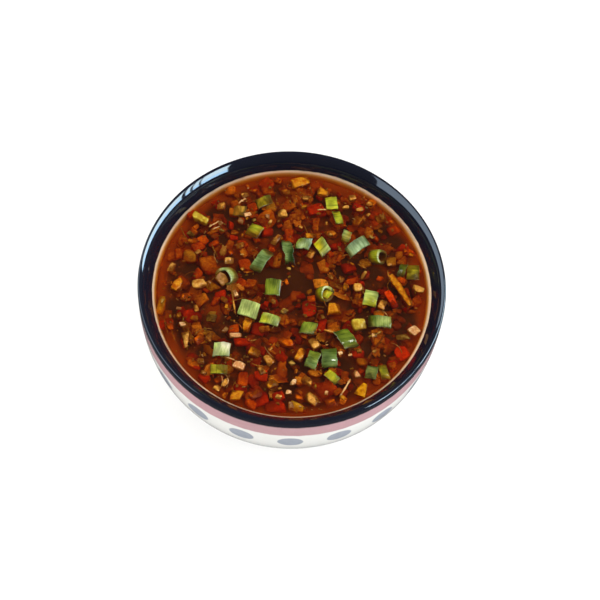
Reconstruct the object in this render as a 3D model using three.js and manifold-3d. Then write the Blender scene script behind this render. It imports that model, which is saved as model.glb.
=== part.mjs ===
// A small porcelain bowl filled with hot and sour soup: a thick broth that holds finely diced
// vegetables, with cut spring onion, carrot and corn standing out of it.
// Millimetres, +Z up. The origin is the middle of the foot ring, on the surface the bowl stands on.

import * as THREE from 'three';
import { mergeVertices } from 'three/addons/utils/BufferGeometryUtils.js';
import Module from 'manifold-3d';

const wasm = await Module();
wasm.setup();

// ---------- Driving dimensions ----------
const GAP = 0.3; // clearance kept between touching pieces

// Bowl, outside
const BOWL_HEIGHT = 62;
const RIM_RADIUS = 65;
const RIM_ROUNDING = 1.4;
const BELLY_BULGE = 1.5; // how far the curve's control point stands outside the rim
const BELLY_HEIGHT = 34;
const FLANK_RADIUS = 66; // control point that keeps the wall full before it turns in
const FOOT_RADIUS = 33;
const FOOT_HEIGHT = 6;
const FOOT_RING_WIDTH = 4;
const FOOT_RECESS = 3.5;

// Bowl, inside
const LIP_RADIUS = 64.2; // where the lip starts to fall towards the soup
const LIP_SHOULDER = 63.8; // control point that keeps the lip flat at its crest
const LIP_RUN = 2.8; // how far up the wall's slope the lip's lower control point stands
const WATERLINE_RADIUS = 59.2;
const WATERLINE_DEPTH = 8; // soup level below the rim
const WATERLINE_SLOPE = 2.5; // fall of the wall for each millimetre inward
const FLOOR_HEIGHT = 9.5; // inner floor above the table
const FLOOR_RADIUS = 14; // flat middle of the inner floor
const STRAIGHT_RUN = 3.5; // inward run of the wall before it turns towards the floor
const HEEL_RADIUS = 60; // control point that keeps the inside full near the floor

const LATHE_SEGMENTS = 64;
const OUTER_STEPS = 8; // points along the curved outside
const INNER_STEPS = 6;
const LIP_STEPS = 5;

const SOUP_LEVEL = BOWL_HEIGHT - WATERLINE_DEPTH;
const SOUP_SEGMENTS = 64;
const SHORE = 2.2; // diced pieces stay this far from the wall

// ---------- Spring onion ----------
const ONION_WALL = 1.3; // thickness of the stalk's wall
const LEAN_ALONG = 4; // most degrees that a slab leans, along its girth and across it
const LEAN_ACROSS = 5;
const SLAB_SEGMENTS = 4;
const RING_SEGMENTS = 7;

// Each row: x, y, girth (length round the stalk), cut (length along the stalk), turn in degrees,
// curl in degrees round the stalk, and how far the top stands above the soup.
const ONION_SLABS = [
  [-15.2, 41.8, 7.6, 4.8, 28, 50, 0.7],
  [-25.7, 36.0, 5.4, 4.8, 4, 40, 0.6],
  [-18.5, 26.2, 6.4, 6.0, 60, 45, 0.8],
  [-13.8, 12.0, 12.6, 5.2, 68, 80, 1.5],
  [-3.0, 17.4, 13.4, 4.2, 99, 110, 2.2],
  [3.6, 21.2, 6.2, 5.4, -10, 60, 1.6],
  [-8.2, -1.3, 6.8, 7.4, 8, 60, 1.6],
  [14.7, 43.5, 6.6, 5.2, 100, 40, 1.2],
  [17.9, 36.3, 6.8, 3.4, 106, 40, 1.0],
  [22.2, 26.8, 6.4, 3.8, 72, 130, 1.8],
  [27.0, 22.4, 11.4, 5.4, 42, 60, 1.7],
  [11.8, 20.4, 7.4, 5.4, -48, 55, 1.5],
  [51.8, 11.6, 7.2, 5.4, 82, 40, 0.5],
  [47.0, 11.8, 6.4, 3.2, 82, 70, 0.9],
  [-17.5, -12.5, 8.4, 7.2, -6, 45, 1.8],
  [-8.0, -16.4, 8.2, 4.8, -12, 55, 1.6],
  [33.8, -2.9, 7.4, 5.8, 74, 50, 1.6],
  [37.9, -13.5, 10.2, 5.2, 7, 60, 1.4],
  [24.3, -22.8, 9.2, 6.4, -62, 70, 1.7],
  [8.3, -19.1, 6.2, 5.4, -8, 45, 1.3],
  [10.6, -33.5, 7.6, 4.8, 82, 50, 1.5],
  [17.6, -32.0, 8.6, 6.4, 100, 60, 1.6],
  [19.2, -40.3, 6.2, 3.6, -32, 40, 1.0],
  [35.2, -36.9, 5.6, 4.8, 88, 40, 0.7],
  [40.3, -36.2, 6.6, 3.6, -76, 45, 0.9],
  [-27.0, -31.9, 7.0, 6.2, 4, 70, 1.9],
  [-27.3, -40.5, 7.2, 4.0, -6, 40, 0.5],
];

// Rings cut straight across the stalk.
// Each row: x, y, outer radii along and across, cut, turn, tilt of the axis, rise above the soup.
const ONION_RINGS = [
  [-29.7, 2.2, 4.4, 3.7, 5.4, -52, 43, 0.1],
  [38.4, 18.0, 3.6, 3.5, 5.2, 74, 48, 0.0],
  [15.4, -2.4, 3.8, 3.3, 4.8, 70, 38, 0.5],
];

// ---------- Other pieces that stand out of the soup ----------
// Each row: name, x, y, length, width, height, turn, taper (0 square to 1 pointed), rise.
const CHUNKS = [
  ['carrot_1', 0.2, 53.2, 9.0, 5.8, 4.2, 30, 0.25, 1.2],
  ['carrot_2', 18.3, -9.6, 6.4, 6.2, 4.6, 10, 0.1, 1.5],
  ['carrot_3', -17.9, -19.2, 6.2, 4.6, 4.0, -96, 0.55, 1.1],
  ['carrot_4', -19.5, -51.3, 6.6, 4.6, 4.0, 5, 0.2, 0.9],
  ['carrot_5', -0.9, -26.0, 7.0, 4.6, 4.0, -8, 0.2, 0.8],
  ['carrot_6', -48.7, -2.6, 7.0, 4.4, 4.0, 72, 0.35, 1.1],
  ['carrot_7', 5.1, -31.0, 6.2, 4.4, 4.0, 64, 0.3, 0.9],
  ['carrot_strip', 46.6, 2.3, 16.8, 3.4, 2.2, -58, 0.4, 0.9],
  ['pepper_1', 42.8, -2.3, 8.6, 4.2, 3.0, -60, 0.3, 0.8],
  ['corn_kernel', 31.2, -45.2, 6.8, 5.0, 3.6, 72, 0.3, 1.3],
  ['yellow_pepper_1', -42.8, 30.4, 8.0, 4.8, 4.0, -28, 0.2, 1.4],
  ['yellow_pepper_2', -42.6, -28.4, 7.4, 4.0, 3.6, -78, 0.6, 1.0],
  ['yellow_pepper_3', -39.6, -1.8, 6.4, 4.4, 3.8, 8, 0.2, 1.1],
  ['olive_pepper', 29.4, -15.3, 5.8, 5.6, 4.2, 18, 0.15, 1.2],
];

// ---------- Small dice that break the surface ----------
// Each row: x, y, length, width, turn, rise.
const DICE = [
  [-22.0, 34.2, 3.2, 1.9, 20, 0.7],
  [-28.0, 10.5, 4.2, 3.0, 8, 0.7],
  [-52.2, 5.0, 4.6, 2.8, 70, 0.8],
  [-6.6, 36.2, 4.2, 3.6, 0, 0.7],
  [-24.0, 18.4, 3.6, 3.2, 0, 0.4],
  [-27.8, 14.8, 3.2, 2.2, 80, 0.4],
  [-42.0, 13.8, 2.8, 2.0, 30, 0.5],
  [-8.4, 22.6, 5.6, 2.4, 60, 0.5],
  [10.6, 48.8, 4.8, 3.6, -10, 0.6],
  [3.2, 45.4, 2.8, 2.6, 0, 0.5],
  [-5.9, 47.4, 4.0, 2.8, 0, 0.4],
  [26.7, 35.2, 4.8, 3.6, 70, 0.5],
  [6.5, 25.9, 5.0, 3.0, 10, 0.6],
  [7.0, 16.7, 4.2, 2.8, 60, 0.6],
  [54.2, 3.4, 5.2, 3.0, -12, 0.6],
  [30.6, 8.3, 4.2, 1.6, 60, 0.5],
  [41.6, 14.4, 2.2, 1.4, 30, 0.6],
  [28.4, 2.0, 4.4, 4.0, 10, 0.9],
  [38.9, -5.2, 4.6, 3.2, 70, 0.9],
  [-23.9, -5.2, 3.4, 2.0, -60, 0.6],
  [-2.6, -11.9, 3.0, 2.2, 50, 0.5],
  [-21.9, -24.8, 5.0, 2.0, 6, 0.9],
  [-13.6, -31.4, 4.8, 4.0, -20, 0.7],
  [-7.1, -34.8, 5.4, 3.4, -50, 1.0],
  [-19.3, -38.3, 4.8, 3.2, -14, 1.1],
  [-33.0, -26.4, 4.4, 2.6, 80, 0.6],
  [-33.0, -17.6, 4.4, 3.8, 0, 0.4],
  [-36.6, -27.6, 4.4, 3.6, 40, 0.5],
  [-44.4, -21.6, 2.6, 1.8, 20, 0.7],
  [-35.4, -37.4, 3.2, 2.4, 0, 0.4],
  [-5.4, -45.0, 4.6, 3.6, 30, 0.5],
  [-11.6, -50.2, 4.8, 3.4, 50, 0.4],
  [11.1, -25.6, 4.8, 3.8, -50, 0.8],
  [8.9, -42.6, 4.6, 3.4, -30, 0.7],
  [3.5, -43.8, 2.6, 2.4, 10, 0.9],
  [1.9, -48.4, 2.2, 2.0, 0, 0.8],
  [11.2, -50.4, 6.2, 3.8, -34, 0.7],
  [6.2, -50.2, 3.2, 2.4, 0, 0.5],
  [18.9, -51.0, 4.2, 3.0, 20, 0.5],
  [29.2, -38.4, 3.6, 2.0, -60, 0.9],
  [52.8, -16.3, 4.4, 3.8, 40, 0.9],
  [48.0, -19.6, 5.8, 2.6, 12, 0.4],
  [22.0, -29.4, 2.0, 1.4, 20, 0.6],
  [-24.0, -45.8, 4.8, 1.8, 60, 0.6],
  [-27.2, -48.8, 3.0, 2.2, -20, 0.5],
];
const DICE_HEIGHT = 3; // a die's size downward
const DICE_TAPER = 0.82; // the upper face against the lower one

// Fine dice between the larger ones, spread evenly over the surface
const FINE_COUNT = 70;
const FINE_SIZE = [1.6, 3.4];
const FINE_RISE = [0.25, 0.6];
const FINE_SPACE = 0.7; // bare broth kept round each piece
const FINE_TRIES = 6000;
const RANDOM_SEED = 20;

// ---------- Colours ----------
const PORCELAIN = { color: 0x1a1e2c, roughness: 0.15, metalness: 0 };
const BROTH = { color: 0x5a2010, roughness: 0.1, metalness: 0 };
const ONION_GREEN = { color: 0x86ac40, roughness: 0.35, metalness: 0 };
const CHUNK_COLOURS = {
  carrot: 0xc87818,
  pepper: 0xb83408,
  corn: 0xd29010,
  yellow: 0xd8ac30,
  olive: 0xb0a230,
};

// ---------- Helpers ----------
const degrees = THREE.MathUtils.degToRad;

function randomSource(seed) {
  let state = seed;
  return (low, high) => {
    state = (state * 1664525 + 1013904223) % 4294967296;
    return low + (high - low) * (state / 4294967296);
  };
}

// Closed geometry with position only and its shared vertices merged
function weld(geometry) {
  const bare = geometry.clone();
  bare.deleteAttribute('normal');
  bare.deleteAttribute('uv');
  return mergeVertices(bare, 1e-4);
}

function toSolid(geometry) {
  const welded = weld(geometry);
  return new wasm.Manifold(new wasm.Mesh({
    numProp: 3,
    vertProperties: new Float32Array(welded.attributes.position.array),
    triVerts: new Uint32Array(welded.index.array),
  }));
}

function toGeometry(solid) {
  const mesh = solid.getMesh();
  const geometry = new THREE.BufferGeometry();
  geometry.setAttribute('position', new THREE.BufferAttribute(mesh.vertProperties, 3));
  geometry.setIndex(new THREE.BufferAttribute(mesh.triVerts, 1));
  geometry.computeVertexNormals();
  return geometry;
}

function makeMesh(name, geometry, finish) {
  const mesh = new THREE.Mesh(geometry, new THREE.MeshStandardMaterial(finish));
  mesh.name = name;
  return mesh;
}

// A body of revolution round +Z from [radius, height] points
function turnProfile(points, segments) {
  const profile = points.map(([radius, height]) => new THREE.Vector2(radius, height));
  const geometry = new THREE.LatheGeometry(profile, segments);
  geometry.rotateX(Math.PI / 2);
  return geometry;
}

// Points along a cubic curve, given by its two ends and two handles
function curvePoints(start, handle1, handle2, end, steps) {
  const corners = [start, handle1, handle2, end].map(([x, y]) => new THREE.Vector2(x, y));
  const curve = new THREE.CubicBezierCurve(...corners);
  return curve.getPoints(steps).map((point) => [point.x, point.y]);
}

// ---------- Bowl ----------
function outerWall() {
  const start = [FOOT_RADIUS + 1, FOOT_HEIGHT];
  const flank = [FLANK_RADIUS, FOOT_HEIGHT];
  const belly = [RIM_RADIUS + BELLY_BULGE, BELLY_HEIGHT];
  const end = [RIM_RADIUS, BOWL_HEIGHT - RIM_ROUNDING];
  return curvePoints(start, flank, belly, end, OUTER_STEPS);
}

// The lip falls away from its crest, ever steeper, until it meets the soup
function lip() {
  const crest = [LIP_RADIUS, BOWL_HEIGHT];
  const waterline = [WATERLINE_RADIUS, SOUP_LEVEL];
  const handle1 = [LIP_SHOULDER, BOWL_HEIGHT];
  const handle2 = [WATERLINE_RADIUS + LIP_RUN, SOUP_LEVEL + LIP_RUN * WATERLINE_SLOPE];
  return curvePoints(crest, handle1, handle2, waterline, LIP_STEPS);
}

// The wall under the soup, drawn in by inset for the soup's own outside
function innerWall(inset) {
  const start = [WATERLINE_RADIUS - inset, SOUP_LEVEL];
  const handle1 = [start[0] - STRAIGHT_RUN, SOUP_LEVEL - STRAIGHT_RUN * WATERLINE_SLOPE];
  const handle2 = [HEEL_RADIUS - inset, FLOOR_HEIGHT + inset];
  const end = [FLOOR_RADIUS, FLOOR_HEIGHT + inset];
  return curvePoints(start, handle1, handle2, end, INNER_STEPS);
}

function makeBowl() {
  const ringInside = FOOT_RADIUS - FOOT_RING_WIDTH;
  const foot = [
    [0, FOOT_RECESS],
    [ringInside - 1, FOOT_RECESS],
    [ringInside, 0],
    [FOOT_RADIUS - 0.8, 0],
    [FOOT_RADIUS, 0.8],
    [FOOT_RADIUS, FOOT_HEIGHT - 1],
  ];
  const crest = [RIM_RADIUS - RIM_ROUNDING * 0.3, BOWL_HEIGHT - RIM_ROUNDING * 0.3];
  const profile = [
    ...foot,
    ...outerWall(),
    crest,
    ...lip(),
    ...innerWall(0).slice(1),
    [0, FLOOR_HEIGHT],
  ];
  return makeMesh('bowl', turnProfile(profile, LATHE_SEGMENTS), PORCELAIN);
}

// ---------- Spring onion ----------
// A piece of the stalk's wall: an arc along X, straight along Y, crown up, top at z = 0
function slabGeometry(girth, cut, curl, grow) {
  const angle = degrees(curl);
  const radius = girth / angle;
  const half = angle / 2 + grow / radius;
  const outer = radius + ONION_WALL / 2 + grow;
  const inner = radius - ONION_WALL / 2 - grow;
  const shape = new THREE.Shape();
  shape.absarc(0, 0, outer, Math.PI / 2 + half, Math.PI / 2 - half, true);
  shape.absarc(0, 0, Math.max(inner, 0.2), Math.PI / 2 - half, Math.PI / 2 + half, false);
  shape.closePath();
  const depth = cut + 2 * grow;
  const options = { depth, bevelEnabled: false, curveSegments: SLAB_SEGMENTS };
  const geometry = new THREE.ExtrudeGeometry(shape, options);
  geometry.translate(0, -(radius + ONION_WALL / 2), -depth / 2);
  geometry.rotateX(Math.PI / 2);
  return geometry;
}

// A ring of the stalk, its hole along Z, top at z = 0
function ringGeometry(along, across, cut, grow) {
  const shape = new THREE.Shape();
  const hole = new THREE.Path();
  const wall = ONION_WALL + grow;
  shape.absellipse(0, 0, along + grow, across + grow, 0, 2 * Math.PI);
  hole.absellipse(0, 0, along - wall, across - wall, 0, 2 * Math.PI);
  shape.holes.push(hole);
  const depth = cut + 2 * grow;
  const options = { depth, bevelEnabled: false, curveSegments: RING_SEGMENTS };
  const geometry = new THREE.ExtrudeGeometry(shape, options);
  geometry.translate(0, 0, -cut - grow);
  return geometry;
}

// Each slab leans its own way, by an amount that varies from one to the next
function slabPlace([x, y, , , turn, , rise], index) {
  const leanAcross = LEAN_ALONG * Math.sin(index * 2.4);
  const leanAlong = LEAN_ACROSS * Math.cos(index * 1.7);
  const place = new THREE.Object3D();
  place.position.set(x, y, SOUP_LEVEL + rise);
  place.rotation.order = 'ZXY';
  place.rotation.set(degrees(leanAcross), degrees(leanAlong), degrees(turn));
  return place;
}

function ringPlace([x, y, , , , turn, tilt, rise]) {
  const place = new THREE.Object3D();
  place.position.set(x, y, SOUP_LEVEL + rise);
  place.rotation.order = 'ZXY';
  place.rotation.set(degrees(tilt), 0, degrees(turn));
  return place;
}

// ---------- Carrot, pepper and corn ----------
// A block with softened corners, narrower towards +X by its taper, top at z = 0
const SQUARENESS = 0.55; // 1 is an ellipsoid, and smaller is squarer

function chunkGeometry(length, width, height, taper, grow) {
  const geometry = weld(new THREE.IcosahedronGeometry(1, 1));
  const spots = geometry.attributes.position;
  const point = new THREE.Vector3();
  for (let i = 0; i < spots.count; i += 1) {
    point.fromBufferAttribute(spots, i);
    const cornered = point.toArray().map((v) => Math.sign(v) * Math.abs(v) ** SQUARENESS);
    const narrow = 1 - taper * (cornered[0] + 1) * 0.5;
    spots.setXYZ(
      i,
      cornered[0] * (length / 2 + grow),
      cornered[1] * ((width / 2) * narrow + grow),
      cornered[2] * (height / 2 + grow) - height / 2,
    );
  }
  return geometry;
}

function chunkPlace([, x, y, , , , turn, , rise]) {
  const place = new THREE.Object3D();
  place.position.set(x, y, SOUP_LEVEL + rise);
  place.rotation.z = degrees(turn);
  return place;
}

// ---------- The list of pieces that stand in the soup ----------
// build(grow) gives the piece's form, swollen by grow for the pocket that it sits in
function allPieces() {
  const slabs = ONION_SLABS.map((row, index) => ({
    name: `onion_slab_${index + 1}`,
    place: slabPlace(row, index),
    finish: ONION_GREEN,
    build: (grow) => slabGeometry(row[2], row[3], row[5], grow),
  }));
  const rings = ONION_RINGS.map((row, index) => ({
    name: `onion_ring_${index + 1}`,
    place: ringPlace(row),
    finish: ONION_GREEN,
    build: (grow) => ringGeometry(row[2], row[3], row[4], grow),
  }));
  const chunks = CHUNKS.map((row) => ({
    name: row[0],
    place: chunkPlace(row),
    finish: { color: CHUNK_COLOURS[row[0].split('_')[0]], roughness: 0.35, metalness: 0 },
    build: (grow) => chunkGeometry(row[3], row[4], row[5], row[7], grow),
  }));
  return [...slabs, ...rings, ...chunks];
}

function pieceMesh(piece) {
  const mesh = makeMesh(piece.name, piece.build(0), piece.finish);
  mesh.position.copy(piece.place.position);
  mesh.quaternion.copy(piece.place.quaternion);
  return mesh;
}

// ---------- Soup ----------
function dieGeometry(length, width) {
  const geometry = new THREE.BoxGeometry(length, width, DICE_HEIGHT);
  const spots = geometry.attributes.position;
  for (let i = 0; i < spots.count; i += 1) {
    const scale = spots.getZ(i) > 0 ? DICE_TAPER : 1;
    spots.setXY(i, spots.getX(i) * scale, spots.getY(i) * scale);
  }
  return geometry;
}

function dieSolid([x, y, length, width, turn, rise]) {
  const geometry = dieGeometry(length, width);
  geometry.rotateZ(degrees(turn));
  geometry.translate(x, y, SOUP_LEVEL + rise - DICE_HEIGHT / 2);
  return toSolid(geometry);
}

// A disc round a piece, used to keep the fine dice clear of it
function footprint(x, y, length, width) {
  return { x, y, radius: Math.hypot(length, width) / 2 };
}

function takenDiscs() {
  return [
    ...ONION_SLABS.map((row) => footprint(...row)),
    ...ONION_RINGS.map(([x, y, along, across]) => footprint(x, y, 2 * along, 2 * across)),
    ...CHUNKS.map((row) => footprint(row[1], row[2], row[3], row[4])),
    ...DICE.map((row) => footprint(...row)),
  ];
}

function isClear(disc, taken) {
  return taken.every((other) => {
    const apart = Math.hypot(disc.x - other.x, disc.y - other.y);
    return apart > disc.radius + other.radius * 0.8 + FINE_SPACE;
  });
}

function fineDice() {
  const random = randomSource(RANDOM_SEED);
  const taken = takenDiscs();
  const reach = WATERLINE_RADIUS - SHORE;
  const rows = [];
  for (let tries = 0; rows.length < FINE_COUNT && tries < FINE_TRIES; tries += 1) {
    const angle = random(0, 2 * Math.PI);
    const distance = reach * Math.sqrt(random(0, 1));
    const length = random(...FINE_SIZE);
    const width = length * random(0.5, 0.95);
    const disc = footprint(distance * Math.cos(angle), distance * Math.sin(angle), length, width);
    const turn = random(0, 180);
    const rise = random(...FINE_RISE);
    if (distance + disc.radius < reach && isClear(disc, taken)) {
      taken.push(disc);
      rows.push([disc.x, disc.y, length, width, turn, rise]);
    }
  }
  return rows;
}

function makeSoup(pieces) {
  const outside = innerWall(GAP).reverse();
  const broth = turnProfile([[0, FLOOR_HEIGHT + GAP], ...outside, [0, SOUP_LEVEL]], SOUP_SEGMENTS);
  const dice = [...DICE, ...fineDice()].map(dieSolid);
  let solid = dice.reduce((whole, die) => whole.add(die), toSolid(broth));
  pieces.forEach((piece) => {
    const pocket = piece.build(GAP);
    piece.place.updateMatrix();
    pocket.applyMatrix4(piece.place.matrix);
    solid = solid.subtract(toSolid(pocket));
  });
  return makeMesh('soup', toGeometry(solid), BROTH);
}

// ---------- Assembly ----------
const pieces = allPieces();
const bowlOfSoup = new THREE.Group();
bowlOfSoup.add(makeBowl());
bowlOfSoup.add(makeSoup(pieces));
pieces.forEach((piece) => bowlOfSoup.add(pieceMesh(piece)));

export default bowlOfSoup;
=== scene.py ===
# The looks of a porcelain bowl of hot and sour soup: glaze, clear broth, chopped vegetables.
# Sizes are worked out in millimetres and turned to metres when a mesh is made.

import math

import bpy
import numpy as np
from mathutils import Matrix, Vector


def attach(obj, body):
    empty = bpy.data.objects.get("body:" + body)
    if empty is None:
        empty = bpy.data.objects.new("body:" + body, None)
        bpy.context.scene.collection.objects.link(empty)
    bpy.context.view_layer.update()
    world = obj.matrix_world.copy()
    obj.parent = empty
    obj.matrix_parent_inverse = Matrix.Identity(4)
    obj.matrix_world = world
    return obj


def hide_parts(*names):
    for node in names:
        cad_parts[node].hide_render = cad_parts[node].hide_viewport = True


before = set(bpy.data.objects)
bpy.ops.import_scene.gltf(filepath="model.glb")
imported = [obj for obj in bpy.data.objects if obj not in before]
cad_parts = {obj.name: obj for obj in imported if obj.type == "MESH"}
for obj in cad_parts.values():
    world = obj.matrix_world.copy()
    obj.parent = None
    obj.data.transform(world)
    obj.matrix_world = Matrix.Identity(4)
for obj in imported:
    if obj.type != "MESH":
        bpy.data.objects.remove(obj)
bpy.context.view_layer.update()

MM = 0.001
TURN = 2 * math.pi
made = []  # every object of this script

# ---------- Sizes shared with the solids ----------
BOWL_HEIGHT = 62
RIM_RADIUS = 65
RIM_ROUNDING = 1.4
BELLY_BULGE = 1.5
BELLY_HEIGHT = 34
FLANK_RADIUS = 66
FOOT_RADIUS = 33
FOOT_HEIGHT = 6
FOOT_RING_WIDTH = 4
FOOT_RECESS = 3.5
LIP_RADIUS = 64.2
LIP_SHOULDER = 63.8
LIP_RUN = 2.8
WATERLINE_RADIUS = 59.2
WATERLINE_DEPTH = 8
WATERLINE_SLOPE = 2.5
FLOOR_HEIGHT = 9.5
FLOOR_RADIUS = 14
STRAIGHT_RUN = 3.5
HEEL_RADIUS = 60
SOUP_LEVEL = BOWL_HEIGHT - WATERLINE_DEPTH
SHORE = 2.2
ONION_WALL = 1.3
LEAN_ALONG = 4
LEAN_ACROSS = 5
DICE_HEIGHT = 3

# Greens of the stalk, from the leaf end to the white end
GREENS = {
    "moss": "#434402", "olive": "#675102", "straw": "#A9852D", "amber": "#835503",
    "lime": "#797D15", "yellow_lime": "#8E8309", "grass": "#5A6517", "leaf": "#3A4A0B",
    "dark_leaf": "#223509", "pale": "#86924D", "mint": "#6C7F59", "blue_green": "#39562B",
    "grey_green": "#3B5331", "white": "#B1AD8C", "bright_lime": "#929521", "sage": "#556836",
}

# Spring onion slabs: x, y, girth, cut, turn, curl, rise, the green at one end and the other,
# how strongly the ribs show, and how torn the cut edges are
ONION_SLABS = [
    (-15.2, 41.8, 7.6, 4.8, 28, 50, 0.7, "olive", "lime", 0.2, 0.03),
    (-25.7, 36.0, 5.4, 4.8, 4, 40, 0.6, "straw", "straw", 0.2, 0.05),
    (-18.5, 26.2, 6.4, 6.0, 60, 45, 0.8, "olive", "lime", 0.3, 0.03),
    (-13.8, 12.0, 12.6, 5.2, 68, 80, 1.5, "sage", "sage", 0.5, 0.05),
    (-3.0, 17.4, 13.4, 4.2, 99, 110, 2.2, "dark_leaf", "sage", 2.0, 0.16),
    (3.6, 21.2, 6.2, 5.4, -10, 60, 1.6, "grass", "mint", 1.4, 0.08),
    (-8.2, -1.3, 6.8, 7.4, 8, 60, 1.6, "grass", "grass", 0.5, 0.03),
    (14.7, 43.5, 6.6, 5.2, 100, 40, 1.2, "bright_lime", "bright_lime", 0.3, 0.02),
    (17.9, 36.3, 6.8, 3.4, 106, 40, 1.0, "lime", "lime", 0.5, 0.03),
    (22.2, 26.8, 6.4, 3.8, 72, 130, 1.8, "olive", "pale", 0.5, 0.08),
    (27.0, 22.4, 11.4, 5.4, 42, 60, 1.7, "mint", "mint", 0.5, 0.03),
    (11.8, 20.4, 7.4, 5.4, -48, 55, 1.5, "yellow_lime", "pale", 0.3, 0.03),
    (51.8, 11.6, 7.2, 5.4, 82, 40, 0.5, "lime", "bright_lime", 0.4, 0.03),
    (47.0, 11.8, 6.4, 3.2, 82, 70, 0.9, "moss", "leaf", 0.8, 0.08),
    (-17.5, -12.5, 8.4, 7.2, -6, 45, 1.8, "pale", "pale", 0.9, 0.02),
    (-8.0, -16.4, 8.2, 4.8, -12, 55, 1.6, "bright_lime", "pale", 0.5, 0.03),
    (33.8, -2.9, 7.4, 5.8, 74, 50, 1.6, "bright_lime", "pale", 0.4, 0.03),
    (37.9, -13.5, 10.2, 5.2, 7, 60, 1.4, "leaf", "pale", 1.2, 0.03),
    (24.3, -22.8, 9.2, 6.4, -62, 70, 1.7, "leaf", "grass", 0.7, 0.05),
    (8.3, -19.1, 6.2, 5.4, -8, 45, 1.3, "grass", "grass", 0.6, 0.03),
    (10.6, -33.5, 7.6, 4.8, 82, 50, 1.5, "sage", "grass", 0.5, 0.04),
    (17.6, -32.0, 8.6, 6.4, 100, 60, 1.6, "sage", "leaf", 0.8, 0.04),
    (19.2, -40.3, 6.2, 3.6, -32, 40, 1.0, "yellow_lime", "lime", 0.2, 0.03),
    (35.2, -36.9, 5.6, 4.8, 88, 40, 0.7, "sage", "sage", 0.5, 0.03),
    (40.3, -36.2, 6.6, 3.6, -76, 45, 0.9, "lime", "olive", 0.5, 0.03),
    (-27.0, -31.9, 7.0, 6.2, 4, 70, 1.9, "pale", "white", 0.3, 0.04),
    (-27.3, -40.5, 7.2, 4.0, -6, 40, 0.5, "bright_lime", "bright_lime", 0.3, 0.03),
]

# Rings: x, y, radii along and across, cut, turn, tilt, rise, then the outer and the inner green
ONION_RINGS = [
    (-29.7, 2.2, 4.4, 3.7, 5.4, -52, 43, 0.1, "pale", "mint"),
    (38.4, 18.0, 3.6, 3.5, 5.2, 74, 48, 0.0, "lime", "pale"),
    (15.4, -2.4, 3.8, 3.3, 4.8, 70, 38, 0.5, "lime", "pale"),
]

# Larger pieces: name, x, y, length, width, height, turn, taper, rise, and what they are
CHUNKS = [
    ("carrot_1", 0.2, 53.2, 9.0, 5.8, 4.2, 30, 0.25, 1.2, "carrot"),
    ("carrot_2", 18.3, -9.6, 6.4, 6.2, 4.6, 10, 0.1, 1.5, "carrot"),
    ("carrot_3", -17.9, -19.2, 6.2, 4.6, 4.0, -96, 0.55, 1.1, "carrot"),
    ("carrot_4", -19.5, -51.3, 6.6, 4.6, 4.0, 5, 0.2, 0.9, "carrot"),
    ("carrot_5", -0.9, -26.0, 7.0, 4.6, 4.0, -8, 0.2, 0.8, "red_carrot"),
    ("carrot_6", -48.7, -2.6, 7.0, 4.4, 4.0, 72, 0.35, 1.1, "carrot"),
    ("carrot_7", 5.1, -31.0, 6.2, 4.4, 4.0, 64, 0.3, 0.9, "carrot"),
    ("carrot_strip", 46.6, 2.3, 16.8, 3.4, 2.2, -58, 0.4, 0.9, "carrot"),
    ("pepper_1", 42.8, -2.3, 8.6, 4.2, 3.0, -60, 0.3, 0.8, "pepper"),
    ("corn_kernel", 31.2, -45.2, 6.8, 5.0, 3.6, 72, 0.3, 1.3, "corn"),
    ("yellow_pepper_1", -42.8, 30.4, 8.0, 4.8, 4.0, -28, 0.2, 1.4, "yellow"),
    ("yellow_pepper_2", -42.6, -28.4, 7.4, 4.0, 3.6, -78, 0.6, 1.0, "soaked"),
    ("yellow_pepper_3", -39.6, -1.8, 6.4, 4.4, 3.8, 8, 0.2, 1.1, "soaked"),
    ("olive_pepper", 29.4, -15.3, 5.8, 5.6, 4.2, 18, 0.15, 1.2, "yellow"),
]

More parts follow.
